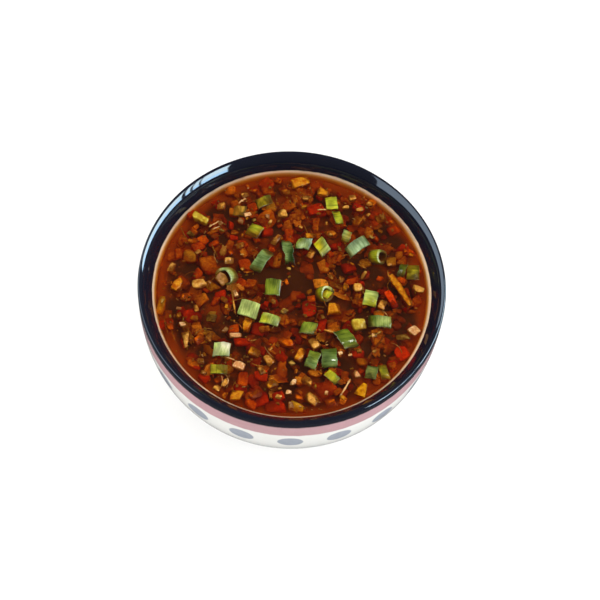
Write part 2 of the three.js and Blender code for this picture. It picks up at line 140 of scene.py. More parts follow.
# Small dice that break the surface: x, y, length, width, turn, rise, and what they are
DICE = [
    (-22.0, 34.2, 3.2, 1.9, 20, 0.7, "cream"),
    (-28.0, 10.5, 4.2, 3.0, 8, 0.7, "soaked"),
    (-52.2, 5.0, 4.6, 2.8, 70, 0.8, "soaked"),
    (-6.6, 36.2, 4.2, 3.6, 0, 0.7, "soaked"),
    (-24.0, 18.4, 3.6, 3.2, 0, 0.4, "brown"),
    (-27.8, 14.8, 3.2, 2.2, 80, 0.4, "red_carrot"),
    (-42.0, 13.8, 2.8, 2.0, 30, 0.5, "soaked"),
    (-8.4, 22.6, 5.6, 2.4, 60, 0.5, "brown"),
    (10.6, 48.8, 4.8, 3.6, -10, 0.6, "carrot"),
    (3.2, 45.4, 2.8, 2.6, 0, 0.5, "soaked"),
    (-5.9, 47.4, 4.0, 2.8, 0, 0.4, "carrot"),
    (26.7, 35.2, 4.8, 3.6, 70, 0.5, "carrot"),
    (6.5, 25.9, 5.0, 3.0, 10, 0.6, "carrot"),
    (7.0, 16.7, 4.2, 2.8, 60, 0.6, "soaked"),
    (54.2, 3.4, 5.2, 3.0, -12, 0.6, "soaked"),
    (30.6, 8.3, 4.2, 1.6, 60, 0.5, "soaked"),
    (41.6, 14.4, 2.2, 1.4, 30, 0.6, "soaked"),
    (28.4, 2.0, 4.4, 4.0, 10, 0.9, "soaked"),
    (38.9, -5.2, 4.6, 3.2, 70, 0.9, "soaked"),
    (-23.9, -5.2, 3.4, 2.0, -60, 0.6, "cream"),
    (-2.6, -11.9, 3.0, 2.2, 50, 0.5, "olive"),
    (-21.9, -24.8, 5.0, 2.0, 6, 0.9, "cream"),
    (-13.6, -31.4, 4.8, 4.0, -20, 0.7, "carrot"),
    (-7.1, -34.8, 5.4, 3.4, -50, 1.0, "soaked"),
    (-19.3, -38.3, 4.8, 3.2, -14, 1.1, "cream"),
    (-33.0, -26.4, 4.4, 2.6, 80, 0.6, "brown"),
    (-33.0, -17.6, 4.4, 3.8, 0, 0.4, "olive"),
    (-36.6, -27.6, 4.4, 3.6, 40, 0.5, "red_carrot"),
    (-44.4, -21.6, 2.6, 1.8, 20, 0.7, "cream"),
    (-35.4, -37.4, 3.2, 2.4, 0, 0.4, "brown"),
    (-5.4, -45.0, 4.6, 3.6, 30, 0.5, "carrot"),
    (-11.6, -50.2, 4.8, 3.4, 50, 0.4, "red_carrot"),
    (11.1, -25.6, 4.8, 3.8, -50, 0.8, "soaked"),
    (8.9, -42.6, 4.6, 3.4, -30, 0.7, "brown"),
    (3.5, -43.8, 2.6, 2.4, 10, 0.9, "cream"),
    (1.9, -48.4, 2.2, 2.0, 0, 0.8, "cream"),
    (11.2, -50.4, 6.2, 3.8, -34, 0.7, "brown"),
    (6.2, -50.2, 3.2, 2.4, 0, 0.5, "red_carrot"),
    (18.9, -51.0, 4.2, 3.0, 20, 0.5, "red_carrot"),
    (29.2, -38.4, 3.6, 2.0, -60, 0.9, "cream"),
    (52.8, -16.3, 4.4, 3.8, 40, 0.9, "cream"),
    (48.0, -19.6, 5.8, 2.6, 12, 0.4, "olive"),
    (22.0, -29.4, 2.0, 1.4, 20, 0.6, "cream"),
    (-24.0, -45.8, 4.8, 1.8, 60, 0.6, "brown"),
    (-27.2, -48.8, 3.0, 2.2, -20, 0.5, "soaked"),
]

# Fine dice between them, spread by the same rule as in the solids
FINE_COUNT = 70
FINE_SIZE = (1.6, 3.4)
FINE_RISE = (0.25, 0.6)
FINE_SPACE = 0.7
FINE_TRIES = 6000
FINE_SEED = 20
FINE_KINDS = ("soaked", "carrot", "red_carrot", "brown", "cream", "soaked", "carrot", "olive")

# Sunk pieces: x, y, length, width, turn, depth of the top under the soup, and what they are
SUNK = [
    (-13.5, 33.5, 8.5, 8.0, 40, 0.5, "carrot"),
    (-14.0, 48.0, 5.5, 5.0, 10, 1.0, "carrot"),
    (-42.0, 17.0, 5.5, 4.0, 30, 0.7, "red_carrot"),
    (-37.0, 9.0, 7.0, 9.0, 10, 1.3, "soaked"),
    (-7.0, 13.5, 4.0, 8.0, -10, 1.1, "soaked"),
    (8.0, 40.5, 7.0, 5.0, 20, 0.9, "pepper"),
    (26.0, 6.0, 7.0, 3.2, 20, 0.6, "red_carrot"),
    (17.0, 22.0, 3.4, 3.0, 0, 0.7, "pepper"),
    (15.0, 28.5, 4.4, 4.0, 30, 0.7, "soaked"),
    (-19.0, -27.0, 6.4, 3.4, 6, 0.6, "pepper"),
    (-23.0, -21.5, 5.0, 3.6, 20, 0.5, "red_carrot"),
    (-17.5, -43.0, 4.2, 8.0, 6, 0.5, "red_carrot"),
    (-41.0, -16.5, 8.0, 7.0, 20, 0.8, "pepper"),
    (-54.5, -13.0, 3.0, 8.0, 8, 0.7, "yellow"),
    (-10.0, -41.5, 5.4, 4.2, 0, 0.8, "pepper"),
    (-3.0, -54.0, 8.0, 5.4, 0, 0.6, "pepper"),
    (8.0, -9.0, 6.0, 8.0, 20, 1.0, "pepper"),
    (8.7, -4.5, 3.4, 3.0, 20, 0.4, "red_carrot"),
    (17.0, -45.0, 9.0, 7.0, 25, 0.9, "red_carrot"),
    (12.0, -38.5, 5.0, 4.0, 30, 0.6, "soaked"),
    (5.5, -54.0, 6.0, 4.0, -20, 0.7, "yellow"),
    (47.5, -26.5, 6.2, 6.2, 30, 0.5, "pepper"),
    (13.5, -17.0, 3.2, 6.2, 0, 0.7, "pepper"),
    (-3.0, 27.5, 3.8, 3.4, 10, 0.5, "red_carrot"),
    (-27.0, 22.5, 3.8, 2.2, 10, 0.5, "pepper"),
    (50.5, -3.0, 4.0, 3.0, -58, 0.5, "carrot"),
    (31.0, 15.0, 5.0, 4.0, 20, 1.2, "olive"),
    (37.0, 38.5, 5.0, 4.8, 30, 1.0, "olive"),
    (31.0, -31.5, 4.2, 4.0, 10, 1.6, "olive"),
    (5.5, -16.0, 4.0, 3.0, 0, 1.4, "olive"),
    (43.0, 33.0, 5.0, 4.0, 30, 0.8, "red_carrot"),
    (47.5, 24.0, 5.0, 4.0, 60, 1.1, "pepper"),
    (-30.4, 1.8, 5.6, 4.6, -40, 0.1, "membrane"),
    (42.3, 17.0, 4.6, 5.2, 10, 0.4, "olive"),
    (12.2, 2.9, 6.4, 4.2, 6, 0.1, "brown"),
    (15.5, -1.5, 5.6, 3.8, 62, 0.0, "inner_leaf"),
    (24.0, 12.0, 6.0, 5.0, 20, 1.2, "pepper"),
    (-33.0, -44.0, 5.0, 4.0, -30, 1.0, "pepper"),
    (-2.0, -50.0, 5.0, 4.0, 20, 0.8, "pepper"),
    (-46.0, 24.0, 5.0, 4.0, 60, 2.0, "brown"),
    (-50.0, 13.0, 4.0, 5.0, 10, 0.9, "carrot"),
    (27.0, 43.0, 6.0, 4.0, -30, 1.2, "pepper"),
    (-38.0, -8.5, 6.0, 4.6, 30, 0.9, "brown"),
    (-32.5, -9.0, 4.6, 3.6, 70, 1.0, "red_carrot"),
    (-45.0, -8.0, 4.4, 3.4, 10, 1.1, "soaked"),
    (-53.0, -22.0, 4.6, 3.6, 60, 1.0, "pepper"),
    (-47.0, 33.0, 5.0, 3.6, 40, 1.2, "red_carrot"),
    (-31.0, 47.0, 5.0, 4.0, 15, 1.1, "brown"),
    (33.0, 46.0, 4.6, 3.8, 50, 1.2, "brown"),
    (50.0, 22.0, 4.4, 3.6, -20, 1.0, "red_carrot"),
    (-9.0, -52.0, 6.0, 4.6, 30, 0.7, "pepper"),
    (-40.5, 20.5, 4.6, 3.8, -40, 0.4, "red_carrot"),
    (-33.0, -16.0, 3.8, 3.6, 5, 0.4, "olive"),
    (-30.0, -6.0, 4.6, 4.0, 20, 0.9, "pepper"),
    (-49.5, 19.0, 6.0, 4.0, 65, 1.0, "carrot"),
]


# Clear pools where nothing lies near the surface: x, y, radius
POOLS = [
    (-11, 5, 5), (50, -11, 4), (-1, -1, 5), (-14, -5, 4), (24, -33, 4), (-6, 8, 5), (1, 5, 5.5),
    (45, -16, 4.5), (-44, 7, 4), (27, -7, 3.5), (3, -21, 3.5), (-31, 24, 4), (-3, -7, 4),
    (-32, 37, 4), (7, 5, 5), (40, -30, 4), (45, 27, 4), (23, 13, 3.5), (7, 11, 4.5),
    (36, 11, 3.5), (38, 32, 4.5), (-49, -12, 3.5), (-38, 34, 3.5), (21, 41, 3.5),
]

# Dice that fill the soup under the placed ones: how many, how long, and how deep their tops lie
DEEP_COUNT = 520
DEEP_SIZE = (2.0, 6.2)
DEEP_RANGE = (0.5, 4.2)
DEEP_SEED = 7
DEEP_REACH = 57  # how far from the axis they are strewn, as the crumbs are
POOL_DROP = 2.4  # how much deeper they lie under a clear pool
SUNK_DROP = 1.6  # and under a placed piece
RING_CLEARANCE = 6
DEEP_KINDS = ("carrot", "red_carrot", "pepper", "soaked", "red_carrot", "olive", "brown", "carrot",
              "pepper", "soaked")

# Thin leaves of cabbage, mushroom and onion skin that hang under the surface
FLAKE_COUNT = 90
FLAKE_SIZE = (3.0, 8.5)
FLAKE_DEPTH = (0.5, 2.6)
FLAKE_THICKNESS = 0.5
FLAKE_TILT = 28
FLAKE_REACH = 53
FLAKE_SEED = 41
FLAKE_KINDS = ("brown", "soaked", "membrane", "olive", "cream", "soaked", "brown", "carrot")

# Crumbs of vegetable at the surface: how many, how long, and how deep their tops lie
CRUMB_COUNT = 480
CRUMB_SIZE = (0.5, 1.7)
CRUMB_DEPTH = (-0.25, 1.1)
CRUMB_SEED = 11
CRUMB_POOL_LOSS = 0.8  # share of the crumbs that clear pools lose
CRUMB_KINDS = ("cream", "soaked", "carrot", "cream", "brown", "red_carrot", "yellow", "olive")

# Fibres of vegetable strewn just under the surface
FIBRE_COUNT = 44
FIBRE_LENGTH = (2.5, 8.0)
FIBRE_THICKNESS = (0.25, 0.6)
FIBRE_DEPTH = (0.1, 1.1)
FIBRE_SEED = 31
FIBRE_KINDS = ("soaked", "brown", "carrot", "cream", "soaked", "red_carrot")

# Thin shreds: x and y of start, bend and end, thickness, depth of the middle line, and what they are
SHREDS = [
    (-26.5, 39.6, -25.2, 41.2, -23.4, 42.6, 0.9, -0.3, "cream"),
    (-38.6, 26.4, -36.4, 27.6, -34.2, 30.0, 0.7, -0.2, "cream"),
    (-37.0, 25.2, -35.4, 25.8, -33.6, 27.4, 0.5, -0.2, "cream"),
    (-25.8, 0.0, -25.0, -8.0, -22.6, -15.4, 0.7, 0.1, "soaked"),
    (-26.0, -34.8, -20.0, -36.0, -18.0, -38.0, 0.5, -0.2, "cream"),
    (26.8, -40.2, 25.0, -44.4, 22.6, -48.8, 0.8, -0.1, "cream"),
    (40.4, -18.8, 37.2, -24.6, 33.2, -31.2, 0.8, 0.6, "carrot"),
    (38.8, -17.8, 36.6, -19.8, 33.0, -21.0, 1.0, 0.0, "olive"),
    (41.0, 12.0, 40.4, 9.6, 42.4, 6.4, 0.6, 0.0, "soaked"),
    (38.6, -8.0, 40.8, -9.2, 41.6, -11.6, 0.5, 0.0, "cream"),
    (-24.6, -42.4, -22.2, -44.6, -23.6, -48.6, 0.5, -0.1, "cream"),
    (-26.2, -43.0, -24.8, -46.0, -25.8, -48.4, 0.5, -0.1, "cream"),
    (14.6, -19.2, 17.6, -19.6, 20.6, -20.4, 1.1, 0.1, "soaked"),
    (-36.4, 18.4, -35.4, 15.4, -33.0, 12.0, 0.6, 0.5, "soaked"),
    (-44.4, -17.6, -44.8, -20.0, -44.0, -23.4, 0.7, 0.3, "soaked"),
    (8.6, 39.4, 10.6, 40.0, 13.0, 39.8, 0.7, 0.0, "cream"),
    (27.6, 13.8, 29.2, 12.2, 31.8, 11.6, 0.5, 0.1, "soaked"),
    (-51.0, 26.0, -49.6, 22.6, -47.0, 19.4, 0.5, 0.5, "soaked"),
    (-14.4, -36.4, -12.0, -38.4, -8.6, -37.4, 0.4, 0.2, "soaked"),
    (-50.0, -20.0, -49.0, -25.0, -46.0, -30.0, 0.5, 0.8, "soaked"),
    (-52.6, -18.0, -51.6, -23.0, -49.6, -27.0, 0.4, 0.9, "soaked"),
]

# ---------- Optics of the broth ----------
# Share of red, green and blue that each millimetre of depth lets back to the eye
CLARITY = (0.87, 0.61, 0.25)
MURK = 0.79  # share not yet lost in the starch's haze after a millimetre
FILM = 0.6  # thickness of the broth that clings to what stands out of it
ONION_FILM = 0.8
CLEAR_SHORE = 0.5  # the skin climbs the wall, so the broth is thin where they meet
MURK_DEPTH = 5.2  # below this nothing shows
MURK_RELIEF = 1.2
MURK_WAVE = 11
MURK_SEED = 8
CLEAR_DARK = "#53280F"  # the look of a deep, clear pool
STARCH_AND_WALL_GLOW_BROWN = "#9E3A05"  # the look of starch and soy that hang in the broth, and of the painted glow along the wall
HAZE_CLOUD = 11.11  # mm across
WALL_GLOW_REACH = (50.5, 57)  # where the painted glow of the lit white wall through the broth starts and is full, in mm from the axis


# ---------- Meshes ----------
def bezier(start, handle1, handle2, end, steps):
    """Points along a curve from start to end, drawn towards two handles."""
    t = np.linspace(0, 1, steps + 1)[:, None]
    a, b, c, d = (np.array(p, float) for p in (start, handle1, handle2, end))
    return (1 - t) ** 3 * a + 3 * (1 - t) ** 2 * t * b + 3 * (1 - t) * t ** 2 * c + t ** 3 * d


def make_object(name, points, faces, finishes, finish_index=None, attributes=None):
    """A smooth object from points in millimetres; attributes hold one value for each point."""
    mesh = bpy.data.meshes.new(name)
    mesh.from_pydata((np.asarray(points) * MM).tolist(), [], [list(map(int, f)) for f in faces])
    for finish in finishes:
        mesh.materials.append(finish)
    if finish_index is not None:
        mesh.polygons.foreach_set("material_index", np.asarray(finish_index, np.int32))
    for key, values in (attributes or {}).items():
        values = np.asarray(values, np.float32)
        kind = "FLOAT" if values.ndim == 1 else "FLOAT_COLOR"
        layer = mesh.attributes.new(key, kind, "POINT")
        layer.data.foreach_set("value" if values.ndim == 1 else "color", values.ravel())
    mesh.polygons.foreach_set("use_smooth", np.ones(len(mesh.polygons), bool))
    mesh.update()
    obj = bpy.data.objects.new(name, mesh)
    bpy.context.scene.collection.objects.link(obj)
    made.append(obj)
    return obj


def turned_places(radii, segments):
    """X and Y of each radius in each segment round the axis."""
    angles = np.arange(segments) * TURN / segments
    return np.outer(np.cos(angles), radii), np.outer(np.sin(angles), radii)


def turned_body(x, y, z, low, high):
    """Points and faces of a closed body round the axis. Each row of x, y and z is the outline of
    one segment, between the body's lowest and highest point on the axis."""
    segments, n = x.shape
    points = np.stack([x, y, np.broadcast_to(z, x.shape)], -1).reshape(-1, 3)
    points = np.vstack([points, [[0, 0, low], [0, 0, high]]])
    bottom, top = len(points) - 2, len(points) - 1
    faces = []
    for s in range(segments):
        a, b = s * n, (s + 1) % segments * n
        faces.append((bottom, b, a))
        faces += [(a + k, b + k, b + k + 1, a + k + 1) for k in range(n - 1)]
        faces.append((a + n - 1, b + n - 1, top))
    return points, faces


def rotation(turn, lean_x=0.0, lean_y=0.0):
    """Turn about Z after a lean about X after a lean about Y, in degrees."""
    m = (Matrix.Rotation(math.radians(turn), 3, "Z")
         @ Matrix.Rotation(math.radians(lean_x), 3, "X")
         @ Matrix.Rotation(math.radians(lean_y), 3, "Y"))
    return np.array(m)


def ripple(points, wavelength, rng, waves=7):
    """Smooth random relief from -1 to 1 at each point, about one wavelength across."""
    total = np.zeros(len(points))
    for _ in range(waves):
        direction = rng.normal(size=3)
        direction *= TURN / wavelength / np.linalg.norm(direction) * rng.uniform(0.6, 1.5)
        total += np.sin(points @ direction + rng.uniform(0, TURN))
    return total / waves * 1.6


def cube_grid(n):
    """A cube from -1 to 1 with n by n faces on each side, its points shared."""
    index, points, faces = {}, [], []
    steps = np.linspace(-1, 1, n + 1)

    def point(p):
        key = tuple(int(round(v * 1e6)) for v in p)
        if key not in index:
            index[key] = len(points)
            points.append(p)
        return index[key]

    for axis in range(3):
        for side in (-1, 1):
            for i in range(n):
                for j in range(n):
                    corners = []
                    for a, b in ((i, j), (i + 1, j), (i + 1, j + 1), (i, j + 1)):
                        p = [0.0, 0.0, 0.0]
                        p[axis] = side
                        p[(axis + 1) % 3] = steps[a]
                        p[(axis + 2) % 3] = steps[b]
                        corners.append(point(tuple(p)))
                    faces.append(corners if side > 0 else corners[::-1])
    return np.array(points), np.array(faces)


def rounded_block(n, squareness):
    """The cube grid drawn in to a block with soft corners; a higher squareness is sharper."""
    points, faces = cube_grid(n)
    eased = np.sin(points * math.pi / 2 * 0.86) / math.sin(math.pi / 2 * 0.86)
    size = (np.abs(eased) ** squareness).sum(1) ** (1 / squareness)
    return eased / size[:, None], faces


# ---------- Nodes ----------
SOFT = {"interpolation_type": "SMOOTHSTEP"}  # 0 under the first value, 1 over the second
# Mixing two colours: input 0 is the share of the second, 6 and 7 are the colours, output 2 the mix
COLOUR = {"data_type": "RGBA"}
TINT = {"data_type": "RGBA", "blend_type": "MULTIPLY"}


def srgb(code):
    """A hex colour as the linear numbers that the shaders use."""
    parts = [int(code[i:i + 2], 16) / 255 for i in (1, 3, 5)]
    linear = [v / 12.92 if v <= 0.04045 else ((v + 0.055) / 1.055) ** 2.4 for v in parts]
    return (*linear, 1.0)


def add(tree, kind, inputs=(), output=0, **settings):
    """Adds a node and gives one of its outputs. Inputs go in order or by name, and each is a
    value or the output of another node."""
    node = tree.nodes.new("ShaderNode" + kind)
    for key, value in settings.items():
        setattr(node, key, value)
    for key, value in inputs.items() if isinstance(inputs, dict) else enumerate(inputs):
        if isinstance(value, bpy.types.NodeSocket):
            tree.links.new(value, node.inputs[key])
        else:
            node.inputs[key].default_value = value
    return node.outputs[output] if node.outputs else node


def new_finish(name, settings):
    """A material with one surface shader, whose even values are set on its own sockets."""
    material = bpy.data.materials.new(name)
    material.use_nodes = True
    tree = material.node_tree
    tree.nodes.clear()
    surface = add(tree, "BsdfPrincipled", settings)
    add(tree, "OutputMaterial", {"Surface": surface})
    return material, tree, surface.node.inputs


def frame_place(tree):
    """X, Y and Z in millimetres in the object's own frame."""
    place = add(tree, "TexCoord", output="Object")
    return add(tree, "VectorMath", {0: place, "Scale": 1 / MM}, operation="SCALE")


def haze_colour(tree, place):
    """The broth's colour: red-brown where starch hangs in it, dark where it is clear, and red-brown
    along the wall too, as painted light of the lit white wall glowing through the broth."""
    drift = add(tree, "TexNoise", {"Vector": place, "Scale": 1 / HAZE_CLOUD, "Detail": 6.0,
                                   "Roughness": 0.62})
    cloud = add(tree, "MapRange", (drift, 0.43, 0.68), **SOFT)
    flat = add(tree, "VectorMath", (place, (1, 1, 0)), operation="MULTIPLY")
    away = add(tree, "VectorMath", (flat,), "Value", operation="LENGTH")
    # Painted light: lighter red-brown towards the wall, as the lit white wall glows through the broth
    wall_glow = add(tree, "MapRange", (away, *WALL_GLOW_REACH), **SOFT)
    share = add(tree, "Math", (cloud, wall_glow), operation="MAXIMUM")
    return add(tree, "Mix", {0: share, 6: srgb(CLEAR_DARK), 7: srgb(STARCH_AND_WALL_GLOW_BROWN)}, 2, **COLOUR)


def seen_through_broth(tree, place, colour, cover=0.0):
    """What lies under the soup takes the broth's colour, more so the deeper it is. Cover is how
    far above the soup's level the staining starts."""
    height = add(tree, "SeparateXYZ", (place,), "Z")
    depth = add(tree, "Math", (float(SOUP_LEVEL + cover), height), operation="SUBTRACT")
    depth = add(tree, "Math", (depth, 0.0), operation="MAXIMUM")
    kept = [add(tree, "Math", (share, depth), operation="POWER") for share in CLARITY]
    stain = add(tree, "CombineColor", kept)
    stained = add(tree, "Mix", {0: 1.0, 6: colour, 7: stain}, 2, **TINT)
    clear = add(tree, "Math", (MURK, depth), operation="POWER")
    haze = haze_colour(tree, place)
    return add(tree, "Mix", {0: clear, 6: haze, 7: stained}, 2, **COLOUR)


# ---------- Porcelain ----------
NAVY = "#10131F"
WHITE_BODY = ("#F7F7F4", "#EFEFEA")
WARM_WHITE = ("#FFE9CA", "#FFE0B6")
DUSTY_PINK = ("#C9A2A6", "#BE969B")
DOT_LIGHT_PALED_GREY = ("#B0B6C0", "#9BA2AE")
BARE_CLAY = ("#E6DDCB", "#CFC3AC")
DOT_COUNT = 20
DOT_RADIUS = 5.1
DOT_ROW_HEIGHT = 41.5
DOT_ROW_RADIUS = 63.0
DOT_ROW_TURN = 86.5  # degrees
STRIPE_LOW = BOWL_HEIGHT - 12.6
STRIPE_HIGH = BOWL_HEIGHT - 4.2
INNER_BAND_EDGE = (SOUP_LEVEL + 0.5, SOUP_LEVEL + 1.0)
PAINT_TILT = (0.0035, -0.006)  # how much higher the inner band's edge lies for each mm of x and y
# Lengths in mm of what the noise draws
BRUSH_STROKE = 4.545
INNER_BRUSH_STROKE = 5.0
WASH_CLOUD = 2.0
GLAZE_WAVE = 8.33
SAND_GRAIN = 0.5

# Feldspar glaze fired to glass: sharp, even reflections
GLAZE = {"Roughness": 0.05, "IOR": 1.5, "Specular IOR Level": 0.5}


def add_glaze_relief(tree, place, surface):
    """Glaze settles in faint waves a few millimetres across."""
    waves = add(tree, "TexNoise", {"Vector": place, "Scale": 1 / GLAZE_WAVE, "Detail": 2.0})
    bump = add(tree, "Bump", {"Height": waves, "Strength": 0.06, "Distance": 0.4 * MM})
    tree.links.new(bump, surface["Normal"])
    rough = add(tree, "MapRange", {"Value": waves, "To Min": 0.035, "To Max": 0.075})
    tree.links.new(rough, surface["Roughness"])


def dot_distance(tree, x, y, z):
    """How far a spot of the wall is from the middle of the nearest dot, in mm."""
    angle = add(tree, "Math", (y, x), operation="ARCTAN2")
    start = DOT_COUNT * DOT_ROW_TURN / 360 + 0.5
    share = add(tree, "Math", (angle, DOT_COUNT / TURN, start), operation="MULTIPLY_ADD")
    share = add(tree, "Math", (share,), operation="FRACT")
    spacing = TURN * DOT_ROW_RADIUS / DOT_COUNT
    around = add(tree, "Math", (share, spacing, -spacing / 2), operation="MULTIPLY_ADD")
    up = add(tree, "Math", (z, DOT_ROW_HEIGHT), operation="SUBTRACT")
    apart = add(tree, "CombineXYZ", (around, up))
    return add(tree, "VectorMath", (apart,), "Value", operation="LENGTH")


def painted_porcelain():
    """Outside: white porcelain, bands and dots brushed on under a clear glaze, so their edges
    are a little uneven. The navy dots are painted pale grey, as bright light washes them out."""
    finish, tree, surface = new_finish("painted_porcelain", GLAZE)
    place = frame_place(tree)
    x, y, z = add(tree, "SeparateXYZ", (place,)).node.outputs
    hand = add(tree, "TexNoise", {"Vector": place, "Scale": 1 / BRUSH_STROKE, "Detail": 3.0})
    sway = add(tree, "Math", (hand, 1.1, -0.55), operation="MULTIPLY_ADD")
    height = add(tree, "Math", (z, sway), operation="ADD")
    apart = add(tree, "Math", (sway, 0.6, dot_distance(tree, x, y, z)), operation="MULTIPLY_ADD")
    dot = add(tree, "MapRange", (apart, DOT_RADIUS + 0.3, DOT_RADIUS - 0.3), **SOFT)
    pink = add(tree, "MapRange", (height, STRIPE_LOW - 0.35, STRIPE_LOW + 0.35), **SOFT)
    navy = add(tree, "MapRange", (height, STRIPE_HIGH - 0.5, STRIPE_HIGH + 0.6), **SOFT)
    wash = add(tree, "TexNoise", {"Vector": place, "Scale": 1 / WASH_CLOUD, "Detail": 4.0})
    # Painted light: the dots are painted pale grey where bright light washes out their navy
    body, *paints = [add(tree, "Mix", {0: wash, 6: srgb(deep), 7: srgb(thin)}, 2, **COLOUR)
                     for deep, thin in (WHITE_BODY, DOT_LIGHT_PALED_GREY, DUSTY_PINK, (NAVY, NAVY))]
    for share, paint in zip((dot, pink, navy), paints):
        body = add(tree, "Mix", {0: share, 6: body, 7: paint}, 2, **COLOUR)
    tree.links.new(body, surface["Base Color"])
    add_glaze_relief(tree, place, surface)
    return finish


def soup_side_porcelain():
    """Inside: cobalt glaze down to just above the soup, then white, stained by the broth over it."""
    finish, tree, surface = new_finish("soup_side_porcelain", GLAZE)
    place = frame_place(tree)
    x, y, z = add(tree, "SeparateXYZ", (place,)).node.outputs
    hand = add(tree, "TexNoise", {"Vector": place, "Scale": 1 / INNER_BRUSH_STROKE, "Detail": 3.0})
    # The painted edge is brushed by hand and not quite level
    edge = add(tree, "Math", (hand, 0.7, -0.35), operation="MULTIPLY_ADD")
    for side, tilt in ((x, -PAINT_TILT[0]), (y, -PAINT_TILT[1]), (z, 1.0)):
        edge = add(tree, "Math", (side, tilt, edge), operation="MULTIPLY_ADD")
    navy = add(tree, "MapRange", (edge, *INNER_BAND_EDGE), **SOFT)
    first, second = (srgb(code) for code in WARM_WHITE)
    white = add(tree, "Mix", {0: hand, 6: first, 7: second}, 2, **COLOUR)
    stained = seen_through_broth(tree, place, white, -CLEAR_SHORE)
    body = add(tree, "Mix", {0: navy, 6: stained, 7: srgb(NAVY)}, 2, **COLOUR)
    tree.links.new(body, surface["Base Color"])
    add_glaze_relief(tree, place, surface)
    return finish


def unglazed_foot():
    """The ring the bowl stands on is wiped free of glaze before firing: matt, cream, slightly sandy."""
    finish, tree, surface = new_finish("unglazed_foot", {"Roughness": 0.8, "IOR": 1.5})
    place = frame_place(tree)
    sand = add(tree, "TexNoise", {"Vector": place, "Scale": 1 / SAND_GRAIN, "Detail": 4.0})
    first, second = (srgb(code) for code in BARE_CLAY)
    body = add(tree, "Mix", {0: sand, 6: first, 7: second}, 2, **COLOUR)
    tree.links.new(body, surface["Base Color"])
    bump = add(tree, "Bump", {"Height": sand, "Strength": 0.4, "Distance": 0.15 * MM})
    tree.links.new(bump, surface["Normal"])
    return finish


# ---------- Broth and vegetables ----------
SKIN_WAVE = 6.25  # mm


def clear_broth():
    """Starch-thickened stock: a clear liquid with a calm, mirror-like skin. Its colour comes from
    what is seen through it, which seen_through_broth stains by depth."""
    finish, tree, surface = new_finish("clear_broth", {
        "Base Color": (1, 1, 1, 1), "Roughness": 0.1, "IOR": 1.34, "Transmission Weight": 1.0})
    skin = add(tree, "TexNoise", {"Vector": frame_place(tree), "Scale": 1 / SKIN_WAVE, "Detail": 2.0})
    bump = add(tree, "Bump", {"Height": skin, "Strength": 0.05, "Distance": 0.5 * MM})
    tree.links.new(bump, surface["Normal"])
    return finish


def starch_haze():
    """Broth too deep to see through: starch and soy close it off with a brown haze, darker where
    a pool of clear broth lies over it."""
    finish, tree, surface = new_finish("starch_haze", {"Roughness": 0.95, "Specular IOR Level": 0.0})
    pool = add(tree, "Attribute", output="Fac", attribute_name="pool")
    haze = haze_colour(tree, frame_place(tree))
    colour = add(tree, "Mix", {0: pool, 6: haze, 7: srgb(CLEAR_DARK)}, 2, **COLOUR)
    tree.links.new(colour, surface["Base Color"])
    return finish


# What each vegetable is, cooked and soaked: its lighter and darker flesh, and its grain in mm
FLESH = {
    "carrot": ("#A86E12", "#873E04", 1.6),
    "red_carrot": ("#AC5303", "#862E02", 1.6),
    "pepper": ("#A22B01", "#7D1500", 2.2),
    "cream": ("#C5A16F", "#A67041", 1.2),
    "soaked": ("#B6863B", "#895217", 1.2),
    "brown": ("#B68135", "#6F3D0E", 1.4),
    "olive": ("#977735", "#654815", 1.6),
    "corn": ("#B47A08", "#8C5202", 1.4),
    "yellow": ("#AC9732", "#886716", 1.8),
    "inner_leaf": ("#CBD472", "#9DB93C", 2.0),
    "membrane": ("#A69286", "#8A6A5E", 2.0),
}
SOAKED_DEPTH_AND_GLOW = (2.15, 1.78, 0.85, 1)  # flesh full of broth is clearer and deeper in colour, and is brightened past its own colour as a painted glow of light scattered in the broth
FLANK_SHADE = (0.82, 0.60, 0.42, 1)
FLECK_HIGHLIGHT = (1.35, 1.45, 1.7, 1)
SUNK_FLESH = {"Roughness": 0.9, "Specular IOR Level": 0.0}
WET_FLESH = {"Roughness": 0.6, "IOR": 1.4, "Specular IOR Level": 0.0, "Coat Weight": 0.35,
             "Coat Roughness": 0.1, "Coat IOR": 1.34}


